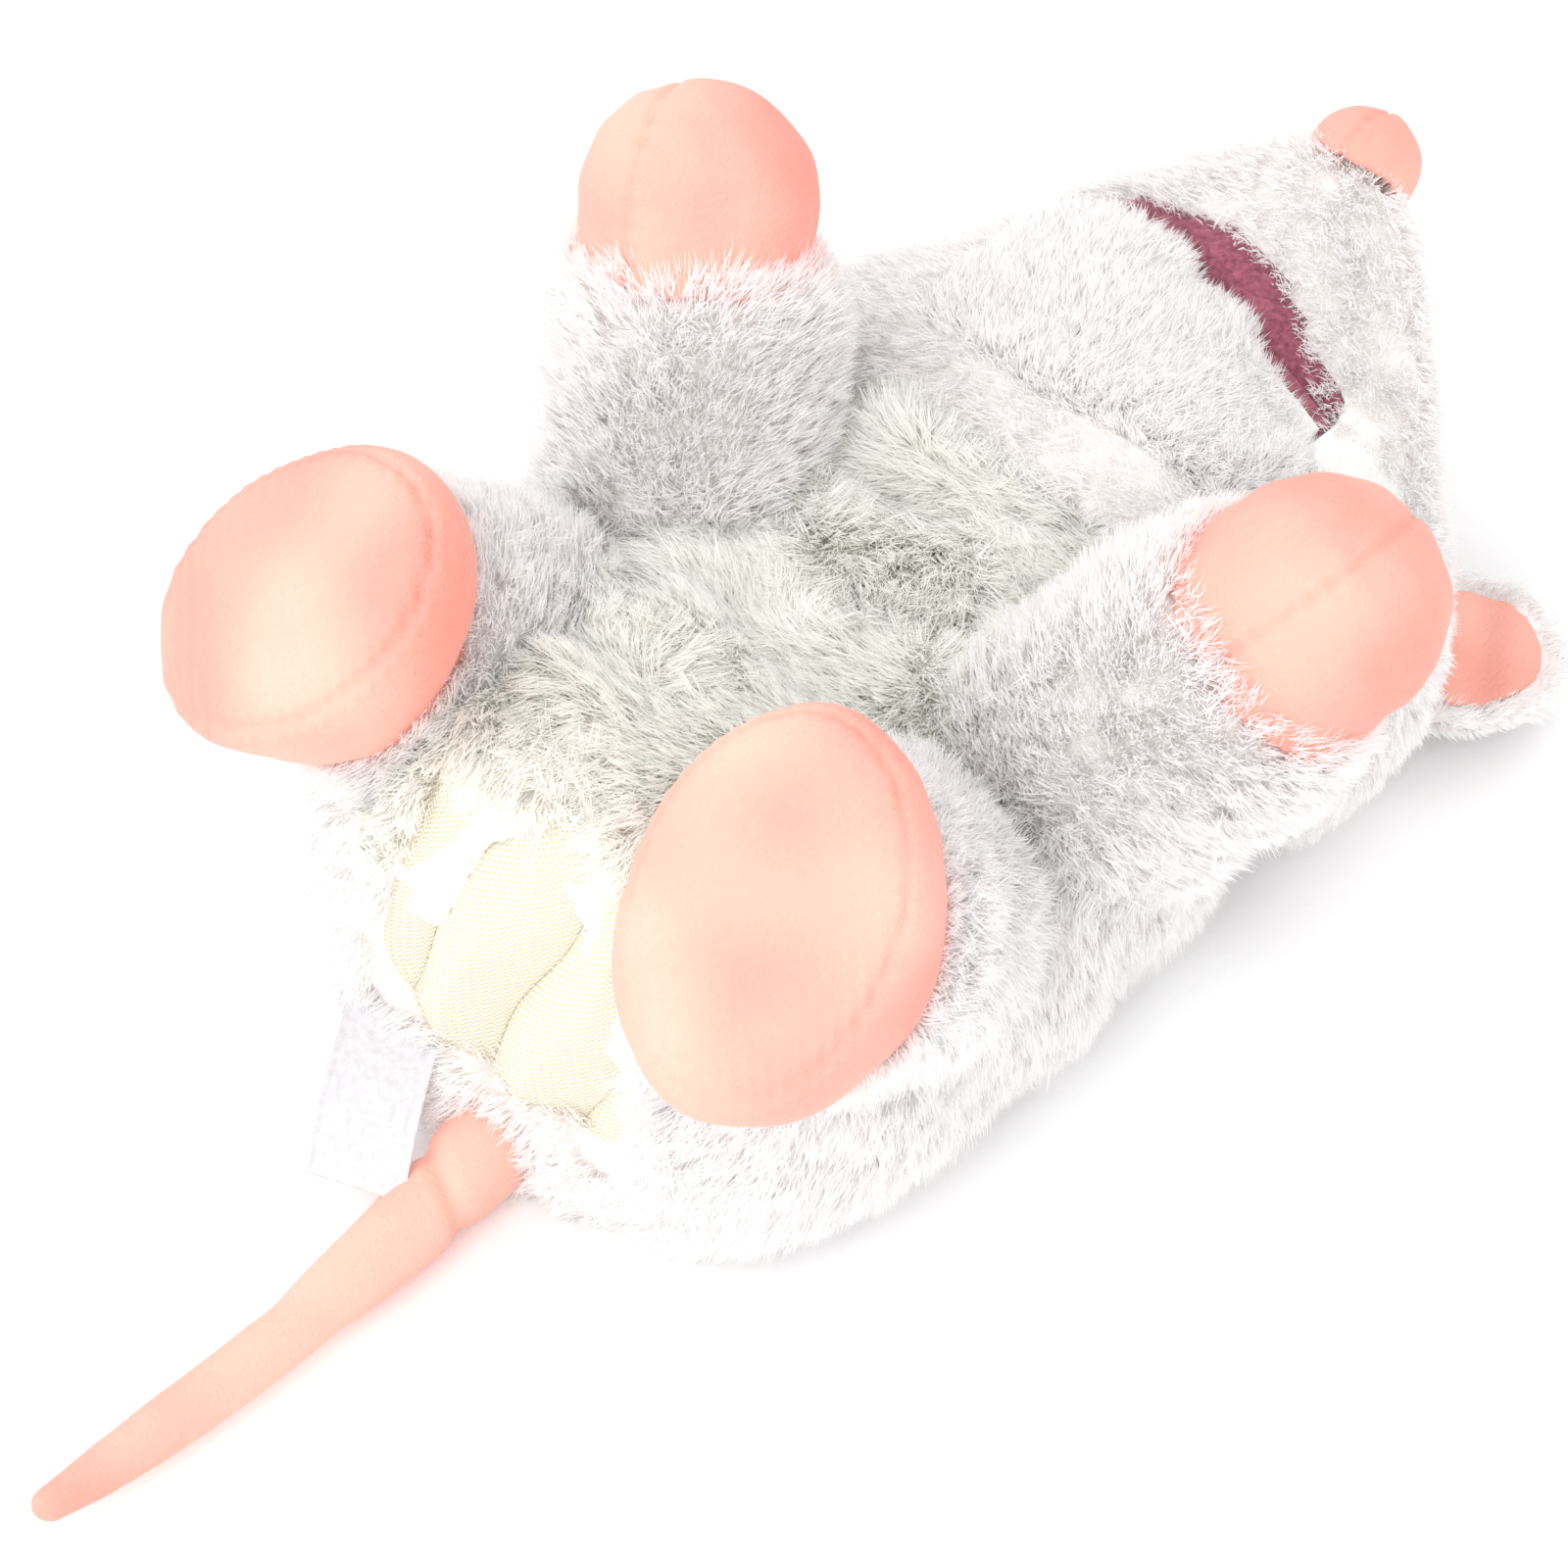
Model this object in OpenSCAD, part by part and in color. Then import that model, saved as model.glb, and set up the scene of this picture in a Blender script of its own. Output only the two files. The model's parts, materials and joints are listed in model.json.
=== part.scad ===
// Plush mouse hand puppet, lying on its back with its belly up.
// X runs across the body, with the mouse's left side at +X. Y runs from the tail to the nose, and Z up.
// The origin is on the flat of the back that the puppet rests on, under the middle of the trunk.

/* [Trunk] */
// Width of the trunk across the hips
trunk_w = 180; // [160:1:210]
// Length of the trunk, from the glove opening to the neck
trunk_len = 172; // [160:1:200]
// Height of the trunk at the hips
trunk_h = 108; // [100:1:120]
// Thickness of the fur fabric with its pile pressed flat
fur_t = 4; // [3:0.5:5]
// Half width of the cream belly panel
belly_half_w = 50; // [40:1:56]

/* [Glove] */
// Outer width of the glove lining
glove_w = 104; // [84:1:112]
// Outer height of the glove lining
glove_h = 38; // [32:1:40]
// Thickness of the knitted lining
lining_t = 1.5; // [1:0.1:2]
// Half width of the glove opening below the legs
mouth_half_w = 43; // [38:1:48]
// Height of the lower edge of the glove opening
mouth_sill = 26; // [20:1:30]
// Half width of the glove opening between the legs
mouth_slot_half_w = 23; // [18:1:24]
// Height of the glove opening between the legs
mouth_slot_h = 96; // [80:1:98]

/* [Head] */
// Width of the head across the cheeks
head_w = 188; // [160:1:200]
// Height of the head from the crown to the chin
head_h = 103; // [94:1:112]
// Length of the head, from the neck seam to the end of the snout
head_len = 146; // [130:1:165]
// Width of the jaw
jaw_w = 92; // [70:1:100]
// Tilt of the closed mouth above the horizontal
mouth_tilt = 37; // [35:1:41]
// Width of the nose
nose_w = 30; // [24:1:34]
// Diameter of the eyes
eye_d = 12; // [9:0.5:14]
// Diameter of the ears
ear_d = 50; // [42:1:60]

/* [Limbs] */
// Diameter of the arms
arm_d = 60; // [48:1:62]
// Length of an arm from the shoulder to the finger end
arm_len = 106; // [92:1:125]
// Length of the pink hand
hand_len = 42; // [34:1:50]
// Diameter of the hips
leg_d = 60; // [50:1:62]
// Length of a leg from the hip to the sole
leg_len = 79; // [70:1:92]
// Length of the sole
sole_len = 88; // [68:1:90]
// Width of the sole
sole_w = 61; // [48:1:66]
// Length of the tail
tail_len = 132; // [110:1:160]
// Diameter of the tail at its root
tail_d = 18; // [14:1:20]
// Thickness of the short pile fabric on hands, feet, ears and tail
minky_t = 2; // [1.5:0.1:3]

/* [Label] */
// Width of the care label
label_w = 25; // [18:1:30]
// Length of the care label
label_len = 45; // [35:1:60]

/* [Hidden] */
ring_fn = 24;
drum_fn = 32;
limb_fn = 48;
room_fn = 24;
seam_gap = 0.4;    // between pieces of one body
move_gap = 0.9;    // between pieces that move past each other
eps = 0.01;
round_power = 0.8; // squares the trunk and head sections a little
reach = 400;       // longer than the puppet
label_t = 0.6;

// Trunk
hem_y = -98;
glove_z0 = fur_t + seam_gap;
glove_z1 = glove_z0 + glove_h;
rim_lean = 0.26;   // how far the opening leans forward for each mm of height
belly_z = 46;      // lower edge of the belly panel

// Neck: a drum about the X axis that the head nods on
neck = [0, hem_y + trunk_len + 16, 50];
neck_a = trunk_w * 0.455;
neck_r = 46;
neck_wall = 3;

// Jaw hinge, a little below the corners of the mouth
jaw_hinge = [0, neck[1] + 32, neck[2] + 8];
jaw_open = 25;
jaw_close = 3;
jaw_knuckle = 5;
lip_t = 2;
jaw_back = 88;     // angle of the jaw's back above the horizontal

// Limbs. Each has its own ball centre, direction and colour, and is modelled upright along +Z.
arm_r = arm_d / 2;
leg_r = leg_d / 2;
shoulder = [trunk_w * 0.345, neck[1] - 50, glove_z1 + move_gap + arm_r];
hip = [trunk_w * 0.322, neck[1] - 114, glove_z1 + move_gap + leg_r];
left_arm_dir = [0.52, 0.39, 0.76];
right_arm_dir = [-0.25, 0.38, 0.89];
left_leg_dir = [0.15, -0.71, 0.69];
right_leg_dir = [-0.24, -0.70, 0.665];
left_toe_turn = 180;
right_toe_turn = 150;
arm_swing = [-10, 30];
head_nod = [-5, 15];
leg_swing = [-35, 8];

tail_root = [4, hem_y - 2, 12];
tail_tip_d = 9;

ear_root = [head_w * 0.335, neck[1] + 72, 12];
ear_barrel_r = 4;
ear_base = 32;
ear_t = 3.5;
ear_inner_t = 2;
ear_tilt = 4;      // above the horizontal
ear_turn = 39;     // of the hinge line, towards the nose

eye_seat = [head_w * 0.222, neck[1] + 103, 30];
eye_dir = [0.6, 0.42, -0.68];
eye_post_d = 4;
eye_post_len = 11;
washer_d = 17;
washer_t = 1.6;
washer_depth = 6;
eye_fit = 0.1;

nose_c = [0, neck[1] + 138, 95];

hem_t = 2.5;
hem_depth = 9;
glove_overrun = 14;      // how far the glove's space runs out past the hem
glove_rim_z = 64;        // top of the wide part of the opening
glove_rim_in_z = 60;     // the same, a little way in
glove_in = 34;           // from the hem to the full width of the glove
slot_in = 64;            // from the hem to where the slot between the legs ends

pocket_y = neck[1] + 28; // mouth of the finger pocket
pocket_len = 48;
pocket_half_w = 40;
pocket_z = [8, 44];
pocket_mouth = [60, 12, 28];
finger_way = [64, 32];   // width and height of the fingers' way into the head
finger_way_z = 10;

thumb_seat = [0, 3, 22]; // of the thumb pocket, from the jaw hinge
thumb_tilt = 28;
thumb_len = 14;
thumb_half_w = 14;
thumb_half_h = 7;

mouth_roof_gap = 2;      // between the roof of the mouth and the jaw's sides
snout_fill = 114;        // the filling ends here, ahead of the neck

hand_belly = 14;         // from the cuff to the widest part of the hand
foot_h = 33;             // from the ankle to the sole's top
sole_dome = 7;
sole_shift = 4;          // of the sole's middle towards the toes
ear_rim = 10;            // the fur edge round the inner ear, both sides together
ear_root_clear = 3;      // between the hinge barrel and the inner ear
limb_flare = 4;
arm_room_len = arm_len - hand_len + 6;
leg_room_len = leg_len - foot_h + 4;
glove_mid = (glove_z0 + glove_z1) / 2;

label_root = [-31, hem_y + 6, 25.5];
label_dir = [0.41, -0.91, -0.05];
label_swing = [-3, 45];

white_fur = "#f7f4f0";
cream_fur = "#f3eee2";
peach = "#f9b8a5";
ivory_knit = "#f1ead8";
satin = "#eeeef0";
rose = "#a8485c";
batting = "#fdfdfb";
black_plastic = "#111111";

// ---- Sections and lofts ----

function sgn_pow(v, p) = sign(v) * pow(abs(v), p);

// A closed section across Y: half width a, from z0 to z1, leaning forward by k, and flat on floor_z.
function section(y, a, z0, z1, k = 0, floor_z = 0, p = round_power) =
    [for (i = [0:ring_fn - 1])
        let (
            t = 360 * i / ring_fn,
            x = a * sgn_pow(cos(t), p),
            free_z = (z0 + z1) / 2 + (z1 - z0) / 2 * sgn_pow(sin(t), p),
            z = max(free_z, floor_z)
        )
        [x, y + k * z, z]];

// A solid through a list of rings, closed flat at both ends.
module loft(rings) {
    n = len(rings[0]);
    last = len(rings) - 1;
    polyhedron(
        concat([for (ring = rings) each ring]),
        concat(
            [[for (i = [n - 1:-1:0]) i]],
            [for (r = [0:last - 1], i = [0:n - 1])
                each [[r * n + i, r * n + (i + 1) % n, (r + 1) * n + (i + 1) % n],
                      [r * n + i, (r + 1) * n + (i + 1) % n, (r + 1) * n + i]]],
            [[for (i = [0:n - 1]) last * n + i]]
        ),
        convexity = 6
    );
}

// Puts an upright limb, modelled along +Z, at its centre and direction.
module limb_at(centre, direction, turn = 0, swing = 0) {
    translate(centre)
        rotate([swing, 0, 0])
            rotate([0, 0, atan2(direction[1], direction[0])])
                rotate([0, acos(direction[2] / norm(direction)), 0])
                    rotate([0, 0, turn])
                        children();
}

// The half space ahead of a plane through y at the neck's height, sloping back as it rises.
module ahead_of(y, slope) {
    multmatrix([[1, 0, 0, 0], [0, 1, -slope, y + slope * neck[2]], [0, 0, 1, 0], [0, 0, 0, 1]])
        translate([-reach / 2, 0, -reach / 2])
            cube(reach);
}

module behind(y, slope) {
    multmatrix([[1, 0, 0, 0], [0, 1, -slope, y + slope * neck[2]], [0, 0, 1, 0], [0, 0, 0, 1]])
        translate([-reach / 2, -reach, -reach / 2])
            cube(reach);
}

// ---- Trunk ----

// Share of the length, half width, lowest and highest point, and lean of each section.
trunk_shape = [
    [0.000, 0.50, 0.12, 0.74, 1.00],
    [0.035, 0.72, 0.00, 0.91, 1.00],
    [0.090, 0.85, -0.05, 1.00, 0.90],
    [0.210, 0.94, -0.08, 1.02, 0.65],
    [0.390, 0.99, -0.08, 0.95, 0.30],
    [0.590, 0.99, -0.08, 0.87, 0.00],
    [0.800, 0.98, -0.08, 0.82, 0.00],
    [0.960, 0.95, -0.06, 0.84, 0.00],
    [1.000, 0.88, 0.04, 0.85, 0.00]
];

// The sections, each drawn in by inset, with the two ends drawn in along the length.
function trunk_sections(inset) =
    [for (i = [0:len(trunk_shape) - 1])
        let (
            s = trunk_shape[i],
            first = i == 0 ? inset : 0,
            last = i == len(trunk_shape) - 1 ? inset : 0
        )
        section(
            hem_y + s[0] * trunk_len + first - last,
            s[1] * trunk_w / 2 - inset,
            s[2] * trunk_h + (s[2] > 0 ? inset : 0),
            s[3] * trunk_h - inset,
            s[4] * rim_lean,
            inset
        )];

module neck_drum(grow) {
    translate(neck)
        scale([(neck_a + grow) / (neck_r + grow), 1, 1])
            rotate([0, 90, 0])
                sphere(r = neck_r + grow, $fn = drum_fn);
}

module neck_belt() {
    difference() {
        neck_drum(0);
        neck_drum(-neck_wall);
        ahead_of(neck[1] + 12, 0.24);
        behind(neck[1] - 19, 0);
    }
}

// The glove's space: a flat sleeve for the hand, and the slot between the legs.
module glove_space(grow) {
    bottom = glove_z0 - grow;
    side = glove_w / 2;
    mouth = mouth_half_w;
    slot = mouth_slot_half_w;
    loft([
        section(hem_y - glove_overrun, mouth + grow, mouth_sill - grow, glove_rim_z + grow, rim_lean, bottom),
        section(hem_y + 4, mouth + grow, mouth_sill - 2 - grow, glove_rim_in_z + grow, rim_lean, bottom),
        section(hem_y + glove_in, side + grow, bottom, glove_z1 + 4 + grow, 0, bottom),
        section(neck[1] - 20, side + grow, bottom, glove_z1 + grow, 0, bottom),
        section(neck[1] + 10, side - 6 + grow, bottom + 6, glove_z1 + grow, 0, bottom)
    ]);
    loft([
        section(hem_y - glove_overrun, slot + grow, mouth_sill + 6, mouth_slot_h + grow, rim_lean, bottom),
        section(hem_y + 14, slot - 2 + grow, mouth_sill + 2, mouth_slot_h - 4 + grow, rim_lean, bottom),
        section(hem_y + slot_in, slot - 6 + grow, bottom + 8, glove_z1 - 1 + grow, 0, bottom)
    ]);
}

// Room for a limb: its ball with a straight way out, and what the limb sweeps as it swings.
module limb_room(centre, direction, radius, length, flare, swing) {
    hull() {
        limb_at(centre, direction) sphere(r = radius + move_gap, $fn = room_fn);
        limb_at(centre, direction) translate([0, 0, radius]) sphere(r = radius + move_gap, $fn = room_fn);
    }
    hull() {
        for (turn = swing) {
            limb_at(centre, direction, 0, turn)
                cylinder(r1 = radius + move_gap, r2 = radius + move_gap + flare, h = length, $fn = room_fn);
        }
    }
}

function mirrored(p) = [-p[0], p[1], p[2]];

module limb_rooms() {
    limb_room(shoulder, left_arm_dir, arm_r, arm_room_len, 0, arm_swing);
    limb_room(mirrored(shoulder), right_arm_dir, arm_r, arm_room_len, 0, arm_swing);
    limb_room(hip, left_leg_dir, leg_r, leg_room_len, limb_flare, leg_swing);
    limb_room(mirrored(hip), right_leg_dir, leg_r, leg_room_len, limb_flare, leg_swing);
}

module tail_room() {
    translate(tail_root) sphere(r = tail_d / 2 + move_gap, $fn = 16);
}

module trunk_shell() {
    difference() {
        union() {
            difference() {
                loft(trunk_sections(0));
                loft(trunk_sections(fur_t));
                neck_drum(-neck_wall);
            }
            neck_belt();
        }
        glove_space(seam_gap);
        limb_rooms();
        tail_room();
        label_room();
    }
}

module belly_window(gap) {
    half_w = belly_half_w - gap;
    translate([-half_w, hem_y + 18 + gap, belly_z + gap])
        cube([2 * half_w, trunk_len - 14 - 2 * gap, trunk_h]);
}

module back_panel() {
    color(white_fur)
        difference() {
            trunk_shell();
            belly_window(0);
        }
}

module belly_panel() {
    color(cream_fur)
        intersection() {
            trunk_shell();
            belly_window(seam_gap / 2);
        }
}

// The rolled edge of fur round the opening, inside the lips of the trunk.
module opening_hem() {
    color(white_fur)
        difference() {
            glove_space(seam_gap - eps);
            glove_space(-hem_t);
            ahead_of(hem_y + rim_lean * neck[2] + hem_depth, -rim_lean);
            behind(hem_y + rim_lean * neck[2] - 1, -rim_lean);
            limb_rooms();
            tail_room();
            label_room();
        }
}

module lining() {
    difference() {
        glove_space(0);
        glove_space(-lining_t);
        behind(hem_y + rim_lean * neck[2] + hem_depth + seam_gap, -rim_lean);
        limb_rooms();
        label_room();
        neck_end();
    }
}

module neck_end() {
    ahead_of(neck[1] + 6, 0);
}

module lining_upper() {
    color(ivory_knit)
        difference() {
            lining();
            translate([-reach / 2, -reach / 2, -reach + glove_mid + seam_gap / 2]) cube(reach);
        }
}

module lining_lower() {
    color(ivory_knit)
        difference() {
            lining();
            translate([-reach / 2, -reach / 2, glove_mid - seam_gap / 2]) cube(reach);
        }
}

module stuffing_side(side) {
    color(batting)
        difference() {
            loft(trunk_sections(fur_t + seam_gap));
            glove_space(seam_gap);
            limb_rooms();
            tail_room();
            label_room();
            neck_drum(seam_gap);
            ahead_of(neck[1] - 24, 0);
            translate([side > 0 ? seam_gap / 2 - reach : -seam_gap / 2, -reach / 2, -reach / 2])
                cube(reach);
        }
}

module stuffing_left_side() {
    stuffing_side(1);
}

module stuffing_right_side() {
    stuffing_side(-1);
}

// The label's own place, lifted by swing about its sewn end, and grown on all sides by gap.
module label_at(swing, gap) {
    translate(label_root)
        rotate([0, 0, atan2(label_dir[1], label_dir[0])])
            rotate([0, -asin(label_dir[2] / norm(label_dir)) - swing, 0])
                translate([-gap, -label_w / 2 - gap, -gap])
                    cube([label_len + 2 * gap, label_w + 2 * gap, label_t + 2 * gap]);
}

module label_room() {
    hull() {
        for (swing = label_swing) label_at(swing, move_gap);
    }
}

module care_label() {
    color(satin) label_at(0, 0);
}

// ---- Tail ----

// Centre and radius of the tail at a share of its length from root to tip.
function tail_x(share) = 4 * sin(150 * share) - 8 * share * share;
function tail_r(share) = (tail_d + (tail_tip_d - tail_d) * share) / 2;

function tail_ring(share, radius) =
    [for (i = [0:11])
        [tail_root[0] + tail_x(share) + radius * cos(30 * i),
         tail_root[1] - share * tail_len,
         tail_root[2] - 3 * share + radius * sin(30 * i)]];

// Rings of the round root, ahead of the tail's first full ring.
function tail_root_ring(angle, radius) =
    [for (i = [0:11])
        [tail_root[0] + radius * cos(angle) * cos(30 * i),
         tail_root[1] + radius * sin(angle),
         tail_root[2] + radius * cos(angle) * sin(30 * i)]];

tail_steps = 10;

// Radius at a step, with the last one drawn in.
function tail_end_r(i, last) = tail_r(i / tail_steps) * (i == tail_steps ? last : 1);

module tail_cover() {
    outer = concat(
        [tail_ring(1, 0.5)],
        [for (i = [tail_steps:-1:0]) tail_ring(i / tail_steps * 0.985, tail_end_r(i, 0.8))],
        [for (angle = [30, 55]) tail_root_ring(angle, tail_d / 2)]
    );
    inner = concat(
        [for (angle = [55, 30]) tail_root_ring(angle, tail_d / 2 - minky_t)],
        [for (i = [0:tail_steps]) tail_ring(i / tail_steps * 0.96, tail_end_r(i, 0.8) - minky_t)]
    );
    color(peach) loft(concat(outer, inner));
}

module tail_stuffing() {
    slim = minky_t + seam_gap;
    color(batting)
        loft(concat(
            [for (i = [tail_steps:-1:0]) tail_ring(i / tail_steps * 0.94, tail_end_r(i, 0.7) - slim)],
            [for (angle = [30, 55]) tail_root_ring(angle, tail_d / 2 - slim)]
        ));
}

// ---- Head ----

// Share of the head's length, half width, lowest and highest point of each section.
head_shape = [
    [0.000, 0.960, -0.06, 0.97],
    [0.140, 1.000, -0.08, 0.97],
    [0.300, 1.020, -0.08, 0.95],
    [0.450, 0.950, -0.06, 0.95],
    [0.600, 0.780, -0.01, 0.97],
    [0.745, 0.580, 0.13, 1.00],
    [0.860, 0.420, 0.29, 1.03],
    [0.945, 0.280, 0.46, 1.05],
    [1.000, 0.150, 0.66, 1.02]
];
head_y = neck[1] - 8;

function head_sections(inset) =
    [for (i = [0:len(head_shape) - 1])
        let (
            s = head_shape[i],
            first = i == 0 ? inset : 0,
            last = i == len(head_shape) - 1 ? inset : 0
        )
        section(
            head_y + s[0] * head_len - first - last,
            s[1] * head_w / 2 - inset,
            s[2] * head_h + (s[2] > 0 ? inset : 0),
            s[3] * head_h - inset,
            0,
            inset
        )];

// A wedge about the jaw hinge between two angles above the horizontal.
module jaw_wedge(from, to, half_w) {
    translate(jaw_hinge)
        rotate([90, 0, 90])
            translate([0, 0, -half_w])
                linear_extrude(2 * half_w)
                    polygon([[0, 0], reach * [cos(from), sin(from)], reach * [cos(to), sin(to)]]);
}

// What the jaw needs, from the closed mouth to its back at full opening.
module jaw_room() {
    half_w = jaw_w / 2 + move_gap;
    middle = (mouth_tilt + jaw_back + jaw_open) / 2;
    hull() jaw_wedge(mouth_tilt, middle, half_w);
    hull() jaw_wedge(middle - 1, jaw_back + jaw_open + 3, half_w);
    hull() {
        for (side = [-1, 1]) {
            translate(jaw_hinge + [side * (half_w - 1), 0, 0])
                rotate([0, 90, 0])
                    cylinder(r = jaw_knuckle + move_gap, h = 2, center = true, $fn = 16);
        }
    }
}

// Eye seats: the post's hole and a flat for the dome.
module eye_room(seat, direction) {
    hull() limb_at(seat, direction) translate([0, 0, -eye_post_len - 4])
        cylinder(d = eye_post_d + 2 * eye_fit, h = eye_post_len + 8, $fn = 16);
    hull() limb_at(seat, direction) cylinder(d = eye_d + 2, h = eye_d, $fn = 16);
}

module ear_room(side) {
    hull()
        ear_at(side)
            rotate([90, 0, 0])
                cylinder(r = ear_barrel_r + move_gap, h = ear_base + 2, center = true, $fn = 16);
}

// What an arm needs as it swings forward and the head nods back.
module arm_sweep(centre, direction) {
    hull() {
        for (share = [0, 1]) {
            translate(neck)
                rotate([-share * head_nod[1], 0, 0])
                    translate(-neck)
                        limb_at(centre, direction, 0, share * arm_swing[0])
                            cylinder(r = arm_r + move_gap + 0.6, h = arm_len, $fn = room_fn);
        }
    }
}

module nose_shape(grow) {
    hull() {
        for (share = [-1, 1]) {
            translate(nose_c + share * [0, 3, 4])
                sphere(r = nose_w / 2 + grow, $fn = 20);
        }
    }
}

module head_rooms() {
    jaw_room();
    ear_room(1);
    ear_room(-1);
    arm_sweep(shoulder, left_arm_dir);
    arm_sweep(mirrored(shoulder), right_arm_dir);
    eye_room(eye_seat, eye_dir);
    eye_room(mirrored(eye_seat), mirrored(eye_dir));
    neck_drum(move_gap + 0.3);
    behind(neck[1] + 2, 0.12);
}

module head_cover() {
    color(white_fur)
        difference() {
            loft(head_sections(0));
            loft(head_sections(fur_t));
            head_rooms();
        }
}

// The flat pocket for the fingers, between the crown and the roof of the mouth.
module finger_sleeve(grow) {
    low = pocket_z[0] - grow;
    high = pocket_z[1] + grow;
    half_w = pocket_half_w + grow;
    loft([
        section(pocket_y - grow, half_w, low, high, 0, -1),
        section(pocket_y + pocket_len - 18, half_w - 4, low + 1, high - 1, 0, -1),
        section(pocket_y + pocket_len + grow, half_w - 18, low + 7, high - 7, 0, -1)
    ]);
}

module finger_pocket() {
    color(ivory_knit)
        difference() {
            finger_sleeve(0);
            translate([0, -lining_t - eps, 0]) finger_sleeve(-lining_t);
            translate([-pocket_mouth[0] / 2, pocket_y - 8, pocket_z[0] + 4]) cube(pocket_mouth);
        }
}

// A slab lying on a plane through the jaw hinge.
module mouth_slab(tilt, low, high, half_w) {
    translate(jaw_hinge)
        rotate([tilt, 0, 0])
            translate([-half_w, jaw_knuckle + 2 * move_gap, low])
                cube([2 * half_w, head_len, high - low]);
}

module mouth_roof() {
    color(rose)
        intersection() {
            mouth_slab(mouth_tilt, -seam_gap - lip_t, -seam_gap, jaw_w / 2 - mouth_roof_gap);
            loft(head_sections(fur_t + seam_gap));
        }
}

module head_stuffing() {
    color(batting)
        difference() {
            loft(head_sections(fur_t + seam_gap));
            head_rooms();
            finger_sleeve(seam_gap);
            translate([-finger_way[0] / 2, 0, finger_way_z])
                cube([finger_way[0], pocket_y + 2, finger_way[1]]);
            mouth_slab(mouth_tilt, -2 * seam_gap - lip_t, 1, jaw_w / 2);
            ahead_of(neck[1] + snout_fill, 0);
            washer_room(eye_seat, eye_dir);
            washer_room(mirrored(eye_seat), mirrored(eye_dir));
        }
}

module washer_room(seat, direction) {
    limb_at(seat, direction)
        translate([0, 0, -eye_post_len - 2])
            cylinder(d = washer_d + 2, h = eye_post_len, $fn = 20);
}

module nose() {
    color(peach)
        difference() {
            nose_shape(0);
            loft(head_sections(-seam_gap));
        }
}

module eye(seat, direction) {
    color(black_plastic)
        limb_at(seat, direction) {
            intersection() {
                translate([0, 0, 0.3 - eye_d * 0.12]) sphere(d = eye_d, $fn = limb_fn);
                translate([0, 0, 0.3]) cylinder(d = eye_d, h = eye_d, $fn = limb_fn);
            }
            translate([0, 0, -eye_post_len])
                cylinder(d = eye_post_d, h = eye_post_len + 1, $fn = limb_fn);
        }
}

module eye_washer(seat, direction) {
    color(batting)
        limb_at(seat, direction)
            translate([0, 0, -washer_depth - washer_t])
                difference() {
                    cylinder(d = washer_d, h = washer_t, $fn = limb_fn);
                    translate([0, 0, -1])
                        cylinder(d = eye_post_d + 2 * eye_fit, h = washer_t + 2, $fn = limb_fn);
                }
}

// ---- Jaw ----

module jaw_body(inset, gap) {
    intersection() {
        loft(head_sections(inset));
        jaw_wedge(mouth_tilt + jaw_close + 0.5, jaw_back, jaw_w / 2 - gap);
    }
}

module jaw_knuckle_room() {
    hull()
        translate(jaw_hinge)
            rotate([0, 90, 0])
                cylinder(r = jaw_knuckle, h = 2 * jaw_w, center = true, $fn = 16);
}

module jaw_cover() {
    color(white_fur)
        difference() {
            jaw_body(0, 0);
            loft(head_sections(fur_t));
        }
}

module mouth_floor() {
    color(rose)
        intersection() {
            mouth_slab(mouth_tilt + jaw_close + 0.5, 0, lip_t, jaw_w / 2);
            loft(head_sections(fur_t + seam_gap));
        }
}

module thumb_sleeve(grow) {
    half_w = thumb_half_w + grow;
    half_h = thumb_half_h + grow;
    translate(jaw_hinge + thumb_seat)
        rotate([thumb_tilt, 0, 0])
            loft([
                section(-grow, half_w, -half_h, half_h, 0, -20),
                section(thumb_len + grow, half_w - 2, 1 - half_h, half_h - 1, 0, -20)
            ]);
}

module thumb_pocket() {
    color(ivory_knit)
        intersection() {
            difference() {
                thumb_sleeve(0);
                translate([0, -2 * lining_t, -lining_t]) thumb_sleeve(-lining_t);
            }
            jaw_wedge(mouth_tilt, jaw_back - 1, jaw_w);
        }
}

module jaw_stuffing() {
    color(batting)
        difference() {
            jaw_body(fur_t + seam_gap, 1);
            mouth_slab(mouth_tilt + jaw_close + 0.5, -1, lip_t + seam_gap, jaw_w);
            jaw_knuckle_room();
            thumb_sleeve(seam_gap);
            translate([0, -8, -4]) thumb_sleeve(seam_gap);
        }
}

// ---- Ears ----

module ear_at(side) {
    translate([side * ear_root[0], ear_root[1], ear_root[2]])
        scale([side, 1, 1])
            rotate([0, 0, ear_turn])
                children();
}

module ear_back(side) {
    color(white_fur)
        ear_at(side) {
            rotate([90, 0, 0])
                cylinder(r = ear_barrel_r, h = ear_base, center = true, $fn = limb_fn);
            rotate([0, -ear_tilt, 0])
                translate([ear_d / 2 + 1, 0, -ear_t / 2])
                    cylinder(d = ear_d, h = ear_t, $fn = limb_fn);
        }
}

module ear_inner(side) {
    color(peach)
        ear_at(side)
            rotate([0, -ear_tilt, 0])
                translate([0, 0, ear_t / 2 + eps])
                    difference() {
                        translate([ear_d / 2 + 1, 0, 0])
                            cylinder(d = ear_d - ear_rim, h = ear_inner_t, $fn = limb_fn);
                        translate([-1, -ear_d, -1])
                            cube([ear_barrel_r + ear_root_clear, 2 * ear_d, ear_inner_t + 2]);
                    }
}

// ---- Arms ----

cuff_z = arm_len - hand_len;

module round_cup(radius, height) {
    sphere(r = radius, $fn = limb_fn);
    cylinder(r = radius, h = height, $fn = limb_fn);
}

module arm_sleeve(centre, direction) {
    color(white_fur)
        limb_at(centre, direction)
            difference() {
                round_cup(arm_r, cuff_z);
                round_cup(arm_r - fur_t, cuff_z + 1);
            }
}

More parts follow.
